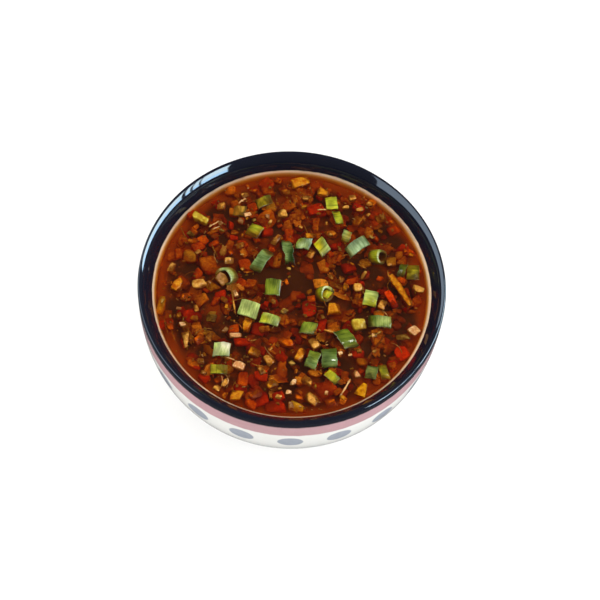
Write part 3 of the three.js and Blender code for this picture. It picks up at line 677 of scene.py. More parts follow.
def cooked_flesh(kind, is_sunk):
    """Cooked vegetable: soft cell grain, paler and darker by patches. Standing out of the soup it
    is wet with a film of broth; sunk in the broth it has no shine of its own."""
    name = ("sunk_" if is_sunk else "wet_") + kind
    finish, tree, surface = new_finish(name, SUNK_FLESH if is_sunk else WET_FLESH)
    light, dark, grain = FLESH[kind]
    place = frame_place(tree)
    cells = add(tree, "TexNoise", {"Vector": place, "Scale": 1 / grain, "Detail": 3.0, "Roughness": 0.6})
    patch = add(tree, "Attribute", output="Fac", attribute_name="tint")
    share = add(tree, "Math", (cells, 3.0, -1.45), operation="MULTIPLY_ADD")
    share = add(tree, "Math", (patch, 0.8, share), operation="MULTIPLY_ADD", use_clamp=True)
    colour = add(tree, "Mix", {0: share, 6: srgb(light), 7: srgb(dark)}, 2, **COLOUR)
    # Pale flecks of cell, lightened further as painted highlights, and painted shade on the flanks,
    # which face away from the light above
    highlight_flecks = add(tree, "TexNoise", {"Vector": place, "Scale": 2.2 / grain, "Detail": 2.0})
    highlight_flecks = add(tree, "MapRange", (highlight_flecks, 0.52, 0.70), **SOFT)
    colour = add(tree, "Mix", {0: highlight_flecks, 6: colour, 7: FLECK_HIGHLIGHT}, 2, **TINT)
    # Painted shade: flanks are darker and more orange than the top, by which way they face
    facing = add(tree, "NewGeometry", output="Normal")
    facing = add(tree, "SeparateXYZ", (facing,), "Z")
    shaded_flank = add(tree, "MapRange", (facing, 0.9, 0.25), **SOFT)
    colour = add(tree, "Mix", {0: shaded_flank, 6: colour, 7: FLANK_SHADE}, 2, **TINT)
    # Painted glow: sunk flesh is brightened as well as deepened in colour
    if is_sunk:
        colour = add(tree, "Mix", {0: 1.0, 6: colour, 7: SOAKED_DEPTH_AND_GLOW}, 2, **TINT)
    colour = seen_through_broth(tree, place, colour, 0.0 if is_sunk else FILM)
    tree.links.new(colour, surface["Base Color"])
    if not is_sunk:
        bump = add(tree, "Bump", {"Height": cells, "Strength": 1.0, "Distance": 0.6 * MM})
        tree.links.new(bump, surface["Normal"])
    return finish


RIB_SPACING = 0.85
RIB_FADING = 2.5
FIBRE_STRETCH = (0.9, 0.16, 1.0)  # noise is drawn out along the stalk
DARK_FIBRE = (0.42, 0.50, 0.34, 1)
PALE_FIBRE = (1.7, 1.5, 1.9, 1)
WAXY_SKIN = {"Roughness": 0.5, "IOR": 1.4, "Specular IOR Level": 0.05, "Coat Weight": 0.4,
             "Coat Roughness": 0.08, "Coat IOR": 1.34}


def cut_spring_onion():
    """Cut stalk of spring onion: green to white along the piece, with fibres and pale ribs that
    run along the stalk, and a wet waxy skin."""
    finish, tree, surface = new_finish("cut_spring_onion", WAXY_SKIN)
    green = add(tree, "Attribute", output="Color", attribute_name="green")
    stalk = add(tree, "Attribute", output="Vector", attribute_name="stalk")
    ribbing = add(tree, "Attribute", output="Fac", attribute_name="ribbing")
    stretched = add(tree, "VectorMath", (stalk, FIBRE_STRETCH), operation="MULTIPLY")
    fibres = add(tree, "TexNoise", {"Vector": stretched, "Scale": 1.0, "Detail": 3.0, "Roughness": 0.65})
    # Ribs under 1 mm apart, that come and go
    across = add(tree, "SeparateXYZ", (stalk,), "X")
    across = add(tree, "Math", (fibres, 1.6, across), operation="MULTIPLY_ADD")
    ribs = add(tree, "Math", (across, TURN / RIB_SPACING), operation="MULTIPLY")
    ribs = add(tree, "Math", (ribs,), operation="SINE")
    ribs = add(tree, "Math", (ribs, 0.5, 0.5), operation="MULTIPLY_ADD")
    ribs = add(tree, "Math", (ribs, ribbing), operation="MULTIPLY")
    fading = add(tree, "TexNoise", {"Vector": stalk, "Scale": 1 / RIB_FADING, "Detail": 1.0})
    fading = add(tree, "MapRange", (fading, 0.38, 0.62), **SOFT)
    ribs = add(tree, "Math", (ribs, fading), operation="MULTIPLY")
    dark = add(tree, "MapRange", (fibres, 0.56, 0.34, 0.0, 0.8), **SOFT)
    body = add(tree, "Mix", {0: dark, 6: green, 7: DARK_FIBRE}, 2, **TINT)
    lighter = add(tree, "Mix", {0: 1.0, 6: green, 7: PALE_FIBRE}, 2, **TINT)
    pale = add(tree, "MapRange", (fibres, 0.54, 0.74, 0.0, 0.7), **SOFT)
    faint = add(tree, "Math", (ribs, 0.45), operation="MULTIPLY")
    for share in (pale, faint):
        body = add(tree, "Mix", {0: share, 6: body, 7: lighter}, 2, **COLOUR)
    body = seen_through_broth(tree, frame_place(tree), body, ONION_FILM)
    tree.links.new(body, surface["Base Color"])
    relief = add(tree, "Math", (ribs, 0.5, fibres), operation="MULTIPLY_ADD")
    bump = add(tree, "Bump", {"Height": relief, "Strength": 0.7, "Distance": 0.3 * MM})
    tree.links.new(bump, surface["Normal"])
    return finish


# ---------- Bowl ----------
BOWL_SEGMENTS = 256


def outer_wall(steps):
    """The outside, from the foot to the rim."""
    return bezier((FOOT_RADIUS + 1, FOOT_HEIGHT), (FLANK_RADIUS, FOOT_HEIGHT),
                  (RIM_RADIUS + BELLY_BULGE, BELLY_HEIGHT),
                  (RIM_RADIUS, BOWL_HEIGHT - RIM_ROUNDING), steps)


def lip(steps):
    """The inside, from the rim down to the waterline."""
    return bezier((LIP_RADIUS, BOWL_HEIGHT), (LIP_SHOULDER, BOWL_HEIGHT),
                  (WATERLINE_RADIUS + LIP_RUN, SOUP_LEVEL + LIP_RUN * WATERLINE_SLOPE),
                  (WATERLINE_RADIUS, SOUP_LEVEL), steps)


def inner_wall(inset, steps):
    """The inside under the soup, drawn in by an inset, down to the floor."""
    start = (WATERLINE_RADIUS - inset, SOUP_LEVEL)
    return bezier(start, (start[0] - STRAIGHT_RUN, SOUP_LEVEL - STRAIGHT_RUN * WATERLINE_SLOPE),
                  (HEEL_RADIUS - inset, FLOOR_HEIGHT + inset),
                  (FLOOR_RADIUS, FLOOR_HEIGHT + inset), steps)


def make_bowl():
    """One profile turned round the axis, from under the foot over the rim to the floor inside."""
    ring_inside = FOOT_RADIUS - FOOT_RING_WIDTH
    foot = np.array([
        [0, FOOT_RECESS], [ring_inside - 1.4, FOOT_RECESS], [ring_inside - 0.9, FOOT_RECESS - 0.3],
        [ring_inside - 0.15, 0.5], [ring_inside + 0.2, 0.1], [ring_inside + 0.6, 0],
        [FOOT_RADIUS - 0.9, 0], [FOOT_RADIUS - 0.4, 0.15], [FOOT_RADIUS - 0.1, 0.5],
        [FOOT_RADIUS, 1.0], [FOOT_RADIUS, FOOT_HEIGHT - 1.2], [FOOT_RADIUS + 0.2, FOOT_HEIGHT - 0.4]])
    rim = bezier((RIM_RADIUS, BOWL_HEIGHT - RIM_ROUNDING), (RIM_RADIUS - 0.04, BOWL_HEIGHT - 0.6),
                 (RIM_RADIUS - 0.4, BOWL_HEIGHT - 0.03), (LIP_RADIUS, BOWL_HEIGHT), 8)
    outside = np.vstack([foot, outer_wall(44), rim[1:]])
    inside = np.vstack([lip(28)[1:], inner_wall(0, 40)[1:]])
    profile = np.vstack([outside, inside])[1:]
    x, y = turned_places(profile[:, 0], BOWL_SEGMENTS)
    points, faces = turned_body(x, y, profile[:, 1], FOOT_RECESS, FLOOR_HEIGHT)
    rows = np.tile(np.arange(len(profile) + 1), BOWL_SEGMENTS)
    finish_index = np.where(rows >= len(outside) - 1, 1, 0)
    finish_index[(rows >= 4) & (rows <= 7)] = 2  # the faces that the bowl stands on
    bowl = make_object("porcelain_bowl", points, faces,
                       [painted_porcelain(), soup_side_porcelain(), unglazed_foot()], finish_index)
    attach(bowl, "root")
    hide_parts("bowl")


# ---------- Where pieces stand ----------
def slab_frame(row, index):
    """How a slab is turned and where its middle lies; each leans its own way."""
    x, y, turn, rise = row[0], row[1], row[4], row[6]
    lean_x = LEAN_ALONG * math.sin(index * 2.4)
    lean_y = LEAN_ACROSS * math.cos(index * 1.7)
    return rotation(turn, lean_x, lean_y), np.array([x, y, SOUP_LEVEL + rise])


def footprint(x, y, length, width):
    """The disc that a piece covers: its middle and its radius."""
    return x, y, math.hypot(length, width) / 2


def fine_dice():
    """The same draw as in the solids: discs that keep clear of every piece already placed."""
    state = FINE_SEED

    def draw(low, high):
        """The next number of a plain congruential generator, as the solids use."""
        nonlocal state
        state = (state * 1664525 + 1013904223) % 4294967296
        return low + (high - low) * (state / 4294967296)

    taken = [footprint(*row[:4]) for row in ONION_SLABS]
    taken += [footprint(r[0], r[1], 2 * r[2], 2 * r[3]) for r in ONION_RINGS]
    taken += [footprint(*row[1:5]) for row in CHUNKS]
    taken += [footprint(*row[:4]) for row in DICE]
    reach = WATERLINE_RADIUS - SHORE
    rows = []
    for _ in range(FINE_TRIES):
        if len(rows) >= FINE_COUNT:
            break
        angle = draw(0, TURN)
        distance = reach * math.sqrt(draw(0, 1))
        length = draw(*FINE_SIZE)
        width = length * draw(0.5, 0.95)
        disc = footprint(distance * math.cos(angle), distance * math.sin(angle), length, width)
        turn = draw(0, 180)
        rise = draw(*FINE_RISE)
        clear = all(math.hypot(disc[0] - o[0], disc[1] - o[1]) > disc[2] + o[2] * 0.8 + FINE_SPACE
                    for o in taken)
        if distance + disc[2] < reach and clear:
            taken.append(disc)
            kind = FINE_KINDS[len(rows) % len(FINE_KINDS)]
            rows.append((disc[0], disc[1], length, width, turn, rise, kind))
    return rows


# ---------- Broth ----------
MENISCUS_RISE = 0.3
MENISCUS_REACH = 0.7
WALL_CLIMB = 0.55
WALL_CLIMB_REACH = 0.9
WALL_OVERLAP = 1.1  # how far the broth reaches into the porcelain
SKIN_SEGMENTS = 480
SKIN_RINGS = 118


def rectangle_distance(x, y, row):
    """Distance from points to a turned rectangle: x, y, length, width, turn."""
    cx, cy, length, width, turn = row
    c, s = math.cos(math.radians(turn)), math.sin(math.radians(turn))
    dx, dy = x - cx, y - cy
    u, v = np.abs(dx * c + dy * s) - length / 2, np.abs(dy * c - dx * s) - width / 2
    outside = np.hypot(np.maximum(u, 0), np.maximum(v, 0))
    return outside + np.minimum(np.maximum(u, v), 0)


def make_broth(dice):
    """A closed body of liquid. Its skin climbs a little at the wall and at each piece that stands
    out of it, and its sides reach just into the porcelain."""
    below = inner_wall(-WALL_OVERLAP, 16)[:0:-1]
    # Rings of the skin from the wall to the middle, closer together near the wall
    share = np.linspace(0, 1, SKIN_RINGS + 1)[:0:-1]
    skin = (WATERLINE_RADIUS + WALL_OVERLAP) * (1 - (1 - share) ** 1.15)
    x, y = turned_places(np.append(below[:, 0], skin), SKIN_SEGMENTS)
    standing = [r[:5] for r in ONION_SLABS]
    standing += [(r[0], r[1], 2 * r[2], 2 * r[3], r[5]) for r in ONION_RINGS]
    standing += [(r[1], r[2], r[3] * 0.94, r[4] * 0.94, r[6]) for r in CHUNKS]
    standing += [r[:5] for r in dice]
    level = WALL_CLIMB * np.exp(-np.maximum(WATERLINE_RADIUS + 0.25 - skin, 0) / WALL_CLIMB_REACH)
    for row in standing:
        away = np.maximum(rectangle_distance(x[:, len(below):], y[:, len(below):], row), 0)
        level = np.maximum(level, MENISCUS_RISE * np.exp(-away / MENISCUS_REACH))
    z = np.hstack([np.tile(below[:, 1], (SKIN_SEGMENTS, 1)), SOUP_LEVEL + level])
    points, faces = turned_body(x, y, z, FLOOR_HEIGHT - WALL_OVERLAP, SOUP_LEVEL)
    broth = make_object("broth", points, faces, [clear_broth()])
    broth.visible_shadow = False
    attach(broth, "root")
    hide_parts("soup")


def over_pool(x, y):
    """How far inside a clear pool a spot lies, in mm; negative outside all of them."""
    return max(r - math.hypot(x - px, y - py) for px, py, r in POOLS)


def over_sunk(x, y):
    """Whether a spot lies over one of the sunk pieces that are placed one by one."""
    return any(math.hypot(x - row[0], y - row[1]) < (row[2] + row[3]) / 4 + 1 for row in SUNK)


def make_murk():
    """The level where the haze closes: an uneven layer with a flat underside."""
    segments, rings = 160, 56
    wall = inner_wall(-0.4, 60)
    edge = np.interp(SOUP_LEVEL - MURK_DEPTH, wall[::-1, 1], wall[::-1, 0])
    radii = np.append(edge - MURK_DEPTH / WATERLINE_SLOPE, edge * np.linspace(1, 0, rings + 1)[:-1])
    x, y = turned_places(radii, segments)
    flat = np.stack([x, y, np.zeros_like(x)], -1).reshape(-1, 3)
    relief = ripple(flat, MURK_WAVE, np.random.default_rng(MURK_SEED)).reshape(x.shape)
    calm = np.clip((edge - radii) / 4, 0, 1)  # level where it meets the wall
    z = SOUP_LEVEL - MURK_DEPTH + MURK_RELIEF * calm * relief
    z[:, 0] = SOUP_LEVEL - 2 * MURK_DEPTH
    points, faces = turned_body(x, y, z, SOUP_LEVEL - 2 * MURK_DEPTH, SOUP_LEVEL - MURK_DEPTH)
    pool = np.clip([(over_pool(*point[:2]) + 2) / 3 for point in points], 0, 1)
    murk = make_object("starch_haze", points, faces, [starch_haze()], attributes={"pool": pool})
    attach(murk, "root")


# ---------- Spring onion ----------
CUT_END = "#B8BE90"
STALK_STEP = 7.3  # keeps the pattern of one stalk apart from the next
SLAB_SLANT = 0.18  # how far from square a slab is cut
SLAB_BOW = (-0.25, 0.35)  # mm that its ends hang below its middle
SLAB_SINK = 0.15
SLAB_GRID = (34, 24)
SLAB_SEED = 100
RIB_HEIGHT = 0.05
SKIN_DENT = 0.14
END_PALENESS = (0.1, 0.6)
RING_SINK = 0.25
RING_RIBBING = 0.6
RING_SEED = 200
RING_STALK = 40  # numbers the stalks of the rings after those of the slabs


def onion_colours(first, second, share):
    """Colours between two greens by name, for shares from 0 to 1."""
    a, b = np.array(srgb(GREENS[first])), np.array(srgb(GREENS[second]))
    return a[None, :] * (1 - share[:, None]) + b[None, :] * share[:, None]


def stalk_place(girth, along, index):
    """Where a point lies on its stalk: round it, along it, and which stalk it is."""
    apart = np.full(len(girth), STALK_STEP * index)
    return np.stack([girth, along, apart, np.ones(len(girth))], -1)


def grid_faces(rows, columns, offset=0, flip=False):
    """The quads between a grid of points."""
    i, j = np.meshgrid(np.arange(rows - 1), np.arange(columns - 1), indexing="ij")
    a = offset + i * columns + j
    quads = np.stack([a, a + 1, a + columns + 1, a + columns], -1).reshape(-1, 4)
    return quads[:, ::-1] if flip else quads


def edge_thickness(u, v, squareness):
    """1 in the middle of a plate and 0 round its edge; a higher squareness thins it later."""
    return np.sqrt(np.maximum(1 - np.abs(u) ** squareness, 0)
                   * np.maximum(1 - np.abs(v) ** squareness, 0))


def plate(across, along, surface):
    """A closed thin plate. surface(u, v, side) places a point; side is 1 above and -1 below, and
    the two sides meet round the edge."""
    eased = [np.sin(np.linspace(-1, 1, n) * math.pi / 2) for n in (across, along)]
    u, v = (g.ravel() for g in np.meshgrid(*eased, indexing="ij"))
    count = across * along
    rim = (np.abs(u) > 1 - 1e-9) | (np.abs(v) > 1 - 1e-9)
    points = np.vstack([surface(u, v, 1), surface(u, v, -1)])
    target = np.arange(2 * count)
    target[count:][rim] = np.arange(count)[rim]
    quads = np.vstack([grid_faces(across, along), grid_faces(across, along, count, True)])
    used, faces = np.unique(target[quads], return_inverse=True)
    return points[used], faces.reshape(quads.shape), u[used % count], v[used % count]


def make_slab(row, index, finish):
    """A curved piece of stalk wall with a fibrous skin and cut ends."""
    _, _, girth, cut, _, curl, _, first, second, ribbing, torn = row
    rng = np.random.default_rng(SLAB_SEED + index)
    half = math.radians(curl) / 2
    radius = girth / (2 * half)
    skew, slant = rng.uniform(-SLAB_SLANT, SLAB_SLANT, 2)
    bow = rng.uniform(*SLAB_BOW)
    phase = rng.uniform(0, TURN, 6)

    def surface(u, v, side):
        ragged = torn * (np.sin(5 * u + phase[0]) + 0.5 * np.sin(12 * u + phase[1]))
        frayed = torn * 0.6 * (np.sin(4 * v + phase[2]) + 0.5 * np.sin(9 * v + phase[3]))
        angle = u * half * (1 + frayed)
        thick = ONION_WALL / 2 * edge_thickness(u, v, 26)
        rib = RIB_HEIGHT * np.sin(u * girth / 2 * TURN / RIB_SPACING + phase[4])
        wave = SKIN_DENT * np.sin(1.7 * v + 2.1 * u + phase[5])
        r = radius + side * thick * (0.92 + 0.08 * np.sin(3 * u + phase[3])) + (rib + wave) * (side > 0)
        px = r * np.sin(angle)
        pz = r * np.cos(angle) - (radius + ONION_WALL / 2) - bow * v ** 2 - SLAB_SINK
        py = v * cut / 2 * (1 + ragged) + slant * px
        return np.stack([px + skew * py, py, pz], -1)

    points, faces, u, v = plate(*SLAB_GRID, surface)
    turn_by, place = slab_frame(row, index)
    drift = 0.4 * np.sin(2.3 * u + phase[1]) * np.cos(1.9 * v + phase[2])
    colour = onion_colours(first, second, np.clip(0.5 + 0.5 * u + 0.2 * v + drift, 0, 1))
    # The cut ends are paler, one more than the other
    pale = np.array(srgb(CUT_END))
    near, far = rng.uniform(*END_PALENESS, 2)
    ends = np.where(v < 0, near, far) * np.clip((np.abs(v) - 0.95) / 0.05, 0, 1)
    shade = 1 + 0.28 * np.sin(1.6 * u + 2.2 * v + phase[0]) + 0.14 * np.sin(4.1 * u - 2.7 * v)
    colour = colour * shade[:, None]
    colour = colour * (1 - ends[:, None]) + pale[None, :] * ends[:, None]
    slab = make_object(f"spring_onion_{index + 1}", points @ turn_by.T + place, faces, [finish],
                       attributes={"green": colour,
                                   "stalk": stalk_place(u * girth / 2, v * cut / 2, index),
                                   "ribbing": np.full(len(u), ribbing)})
    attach(slab, "root")
    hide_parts(f"onion_slab_{index + 1}")


def make_ring(row, index, finish):
    """A slice across the stalk: a ring of uneven wall, cut slightly aslant."""
    x, y, along, across, cut, turn, tilt, rise, first, second = row
    rng = np.random.default_rng(RING_SEED + index)
    round_steps, section_steps = 84, 28
    phi = np.arange(round_steps) * TURN / round_steps
    sec = np.arange(section_steps) * TURN / section_steps
    p, s = (g.ravel() for g in np.meshgrid(phi, sec, indexing="ij"))
    phase = rng.uniform(0, TURN, 6)
    # The section is a rounded oblong, one wall thick and one cut high
    cs, sn = np.cos(s), np.sin(s)
    wall = ONION_WALL * (1 + 0.28 * np.sin(p + phase[0]) + 0.1 * np.sin(3 * p + phase[1]))
    ox = np.sign(cs) * np.abs(cs) ** 0.35 * wall / 2
    oz = np.sign(sn) * np.abs(sn) ** 0.35 * cut / 2
    dent = 1 + 0.06 * np.sin(2 * p + phase[2]) + 0.04 * np.sin(3 * p + phase[3])
    slice_slant = 0.35 * np.sin(p + phase[4]) + 0.18 * np.sin(3 * p + phase[5])
    rx = (along - ONION_WALL / 2) * dent + ox
    ry = (across - ONION_WALL / 2) * dent + ox
    up = oz - cut / 2 + slice_slant * (sn > 0) - RING_SINK
    points = np.stack([rx * np.cos(p), ry * np.sin(p), up], -1)
    i, j = np.meshgrid(np.arange(round_steps), np.arange(section_steps), indexing="ij")
    i2, j2 = (i + 1) % round_steps, (j + 1) % section_steps
    faces = np.stack([i * section_steps + j, i2 * section_steps + j, i2 * section_steps + j2,
                      i * section_steps + j2], -1).reshape(-1, 4)
    share = np.clip(0.5 - 1.1 * ox / wall + 0.25 * np.cos(p), 0, 1)
    colour = onion_colours(first, second, share)
    pale = np.array(srgb(CUT_END))
    ends = (0.3 + 0.3 * np.sin(2 * p + phase[2])) * np.clip((sn - 0.8) / 0.15, 0, 1)
    colour = colour * (1 - ends[:, None]) + pale[None, :] * ends[:, None]
    points = points @ rotation(turn, tilt).T + np.array([x, y, SOUP_LEVEL + rise])
    ring = make_object(f"spring_onion_ring_{index + 1}", points, faces, [finish],
                       attributes={"green": colour,
                                   "stalk": stalk_place(p * along, oz, RING_STALK + index),
                                   "ribbing": np.full(len(p), RING_RIBBING)})
    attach(ring, "root")
    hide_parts(f"onion_ring_{index + 1}")


# ---------- Chopped vegetables ----------
CHUNK_SEED = 300
CHUNK_LEAN = 7  # degrees
CHUNK_DENT = 0.22
CELL_RELIEF = 0.07


def sliced(block, rng, cuts):
    """A block with corners and edges cut off by a knife at random."""
    points = block.copy()
    for _ in range(cuts):
        normal = rng.normal(size=3)
        normal /= np.linalg.norm(normal)
        away = points @ normal
        points -= np.maximum(away - away.max() * rng.uniform(0.6, 0.92), 0)[:, None] * normal
    return points


def make_chunk(row, index, finish):
    """One of the larger cut pieces, tapered, sliced and softened by cooking."""
    name, x, y, length, width, height, turn, taper, rise, kind = row
    rng = np.random.default_rng(CHUNK_SEED + index)
    block, faces = rounded_block(18, 6)
    shape = sliced(block, rng, 8)
    narrow = 1 - taper * (shape[:, 0] + 1) * 0.5
    points = np.stack([shape[:, 0] * length / 2, shape[:, 1] * width / 2 * narrow,
                       shape[:, 2] * height / 2 - height / 2], -1)
    normal = block / np.linalg.norm(block, axis=1)[:, None]
    # Soft dents, and the finer relief of the cells
    relief = CHUNK_DENT * ripple(points, 3.0, rng) + CELL_RELIEF * ripple(points, 1.0, rng)
    points = points + normal * relief[:, None]
    tint = np.clip(0.45 + 0.6 * ripple(points, 4.0, rng), 0, 1)
    points = points @ rotation(turn, *rng.uniform(-CHUNK_LEAN, CHUNK_LEAN, 2)).T
    points[:, 2] -= points[:, 2].max()
    points = points + np.array([x, y, SOUP_LEVEL + rise])
    chunk = make_object(f"cooked_{name}", points, faces, [finish], attributes={"tint": tint})
    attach(chunk, "root")
    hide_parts(name)


def random_spot(rng, reach):
    """A spot of the soup, all spots within reach of the axis being as likely."""
    angle, distance = rng.uniform(0, TURN), reach * math.sqrt(rng.uniform(0, 1))
    return distance * math.cos(angle), distance * math.sin(angle)


def deep_rows():
    """Sunk dice fill the soup under the pieces that are placed one by one."""
    rng = np.random.default_rng(DEEP_SEED)
    rows = []
    while len(rows) < DEEP_COUNT:
        x, y = random_spot(rng, DEEP_REACH)
        length = rng.uniform(*DEEP_SIZE)
        width = length * rng.uniform(0.5, 1.0)
        depth = rng.uniform(*DEEP_RANGE) + (POOL_DROP if over_pool(x, y) > 0 else 0)
        depth += SUNK_DROP if over_sunk(x, y) else 0
        turn = rng.uniform(0, 180)
        kind = DEEP_KINDS[rng.integers(len(DEEP_KINDS))]
        in_ring = any(math.hypot(x - r[0], y - r[1]) < RING_CLEARANCE for r in ONION_RINGS)
        reach = math.hypot(x, y) + length / 2 + depth / WATERLINE_SLOPE
        if reach < WATERLINE_RADIUS - 0.5 and not in_ring:
            rows.append((x, y, length, width, turn, depth, kind))
    return rows


def crumb_rows():
    """Crumbs at the surface, few of them over the clear pools."""
    rng = np.random.default_rng(CRUMB_SEED)
    rows = []
    while len(rows) < CRUMB_COUNT:
        x, y = random_spot(rng, DEEP_REACH)
        if over_pool(x, y) > 0 and rng.uniform() < CRUMB_POOL_LOSS:
            continue
        length = rng.uniform(*CRUMB_SIZE)
        rows.append((x, y, length, length * rng.uniform(0.25, 0.8), rng.uniform(0, 180),
                     rng.uniform(*CRUMB_DEPTH), CRUMB_KINDS[rng.integers(len(CRUMB_KINDS))]))
    return rows


def flake_rows():
    """Thin leaves that hang in the broth, away from the clear pools."""
    rng = np.random.default_rng(FLAKE_SEED)
    rows = []
    while len(rows) < FLAKE_COUNT:
        x, y = random_spot(rng, FLAKE_REACH)
        if over_pool(x, y) > 0 or over_sunk(x, y):
            continue
        length = rng.uniform(*FLAKE_SIZE)
        rows.append((x, y, length, length * rng.uniform(0.3, 0.75), rng.uniform(0, 360),
                     rng.uniform(*FLAKE_DEPTH), FLAKE_KINDS[rng.integers(len(FLAKE_KINDS))]))
    return rows


def fibre_rows():
    """Curved fibres strewn over the soup, away from the clear pools."""
    rng = np.random.default_rng(FIBRE_SEED)
    rows = []
    while len(rows) < FIBRE_COUNT:
        x, y = random_spot(rng, FLAKE_REACH)
        if over_pool(x, y) > 0:
            continue
        reach, heading = rng.uniform(*FIBRE_LENGTH) / 2, rng.uniform(0, TURN)
        bend = rng.uniform(-0.5, 0.5) * reach
        ahead = np.array([math.cos(heading), math.sin(heading)])
        aside = np.array([-ahead[1], ahead[0]])
        start, end = np.array([x, y]) - reach * ahead, np.array([x, y]) + reach * ahead
        middle = np.array([x, y]) + 2 * bend * aside
        rows.append((*start, *middle, *end, rng.uniform(*FIBRE_THICKNESS),
                     rng.uniform(*FIBRE_DEPTH), FIBRE_KINDS[rng.integers(len(FIBRE_KINDS))]))
    return rows


def dice_cutter(divisions, tilt, top_of):
    """A function that cuts dice, each tilted its own way. top_of(row) is the height of its top."""
    block, faces = rounded_block(divisions, 7)

    def cut(row, rng):
        x, y, length, width, turn = row[:5]
        height = min(DICE_HEIGHT, 0.7 * width + 0.3)
        shape = sliced(block, rng, 6) * np.array([length / 2, width / 2, height / 2])
        shape[:, 0] += rng.uniform(-0.25, 0.25) * shape[:, 1]
        shape[:, 1] *= 1 + rng.uniform(-0.4, 0.4) * shape[:, 0] / length
        shape += block * (0.06 * min(length, width) * ripple(shape, 0.7 * length, rng))[:, None]
        shape = shape @ rotation(turn, *rng.uniform(-tilt, tilt, 2)).T
        shape[:, 2] += top_of(row) - shape[:, 2].max()
        tint = np.clip(rng.uniform(0, 1) + 0.3 * ripple(shape, length, rng), 0, 1)
        return shape + np.array([x, y, 0]), faces, tint

    return cut


def flake(row, rng):
    """A curled leaf with a torn outline."""
    x, y, length, width, turn, depth, _ = row
    phase = rng.uniform(0, TURN, 5)
    curl, twist = rng.uniform(-0.5, 0.5), rng.uniform(-0.5, 0.5)

    def surface(u, v, side):
        torn = 1 + 0.16 * np.sin(4 * u + phase[0]) + 0.10 * np.sin(9 * u + phase[1])
        notched = 1 + 0.12 * np.sin(5 * v + phase[2]) + 0.08 * np.sin(11 * v + phase[3])
        narrow = 1 - 0.35 * np.abs(u) ** 3
        px, py = u * length / 2 * notched, v * width / 2 * torn * narrow
        pz = side * edge_thickness(u, v, 8) * FLAKE_THICKNESS / 2
        pz = pz - curl * py ** 2 / width - twist * px * py / length
        return np.stack([px, py, pz + 0.15 * np.sin(3 * u + 2 * v + phase[4])], -1)

    points, faces, _, _ = plate(14, 10, surface)
    points = points @ rotation(turn, *rng.uniform(-FLAKE_TILT, FLAKE_TILT, 2)).T
    points[:, 2] += SOUP_LEVEL - depth - points[:, 2].max()
    points = points + np.array([x, y, 0])
    return points, faces, np.clip(rng.uniform(0, 1) + 0.3 * ripple(points, 3.0, rng), 0, 1)


def shred(row, rng):
    """A bent fibre, round across and thin at both ends."""
    x0, y0, x1, y1, x2, y2, thick, depth, _ = row
    steps, sides = 24, 10
    t = np.linspace(0, 1, steps + 1)
    line = [(1 - t) ** 2 * a + 2 * (1 - t) * t * b + t ** 2 * c
            for a, b, c in ((x0, x1, x2), (y0, y1, y2))]
    wave = 0.12 * np.sin(t * 9 + rng.uniform(0, 6)) - 0.6 * (2 * t - 1) ** 4
    line = np.stack([*line, SOUP_LEVEL - depth + wave], -1)
    along = np.gradient(line, axis=0)
    along /= np.linalg.norm(along, axis=1)[:, None]
    side = np.cross(along, [0, 0, 1])
    side /= np.linalg.norm(side, axis=1)[:, None]
    up = np.cross(side, along)
    width = thick / 2 * np.sqrt(np.maximum(1 - (2 * t - 1) ** 8, 0.02))
    width = width * (1 + 0.2 * np.sin(t * 17 + rng.uniform(0, 6)))
    angles = np.arange(sides) * TURN / sides
    across, upward = np.outer(width, np.cos(angles)), 0.7 * np.outer(width, np.sin(angles))
    points = line[:, None] + side[:, None] * across[..., None] + up[:, None] * upward[..., None]
    points = np.vstack([points.reshape(-1, 3), line[:1], line[-1:]])
    start, end, last = len(points) - 2, len(points) - 1, steps * sides
    faces = []
    for j in range(sides):
        k = (j + 1) % sides
        faces += [(i + j, i + k, i + sides + k, i + sides + j) for i in range(0, last, sides)]
        faces += [(start, k, j), (end, last + j, last + k)]
    return points, faces, np.full(len(points), rng.uniform(0, 1))


def make_heaps(name, all_rows, shape_of, finishes, seed):
    """One object of many small pieces for each kind of vegetable. shape_of(row, rng) gives the
    points, the faces and the tint of one piece."""
    heaps = []
    for number, kind in enumerate(sorted({row[-1] for row in all_rows})):
        rng = np.random.default_rng(seed + number)
        points, faces, tints = [], [], []
        for row in all_rows:
            if row[-1] != kind:
                continue
            some, quads, tint = shape_of(row, rng)
            start = sum(map(len, points))
            faces += [[start + corner for corner in quad] for quad in quads]
            points.append(some)
            tints.append(tint)
        heap = make_object(f"{name}_{kind}", np.vstack(points), faces, [finishes[kind]],
                           attributes={"tint": np.concatenate(tints)})
        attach(heap, "root")
        heaps.append(heap)
    return heaps


# ---------- Floor, light and camera ----------
FLOOR_GLOW = 1.15
FLOOR_GLOW_SEEN = 0.5
FOOT_SHADOW = (0.3, 0.1)  # metres from the axis between which the floor darkens
FLOOR_GREYS = ("#A8A8A8", "#A4A4A4")
STUDIO_RADIUS = 4000  # mm
SOUP_CENTRE = (0, 0, 0.06)

# Soft panels that light matt surfaces, in metres: name, place, aim, width, height, radiance and
# colour
LAMPS = [
    ("overhead", (0, 0.1, 1.1), SOUP_CENTRE, 1.5, 1.5, 3.45, (1.0, 0.97, 0.92)),
    ("daylight", (0.9, -0.05, 0.45), SOUP_CENTRE, 0.9, 0.5, 5.2, (0.97, 0.98, 1.0)),
    ("bounce", (-0.9, -0.2, 0.4), SOUP_CENTRE, 0.9, 0.5, 3.0, (1.0, 0.98, 0.95)),
]
# Panels that only show in reflections: a dim wall to the left, and a small bright lamp
LEFT_WALL = ("left_wall", (-0.9, 0.05, 0.65), (0, 0.05, 0.65), 1.7, 1.1, 4.4, (0.64, 0.81, 1.0))
GLINT = ("glint", (0.36, -0.05, 0.88), SOUP_CENTRE, 0.14, 0.14, 65.0, (1.0, 0.98, 0.95))

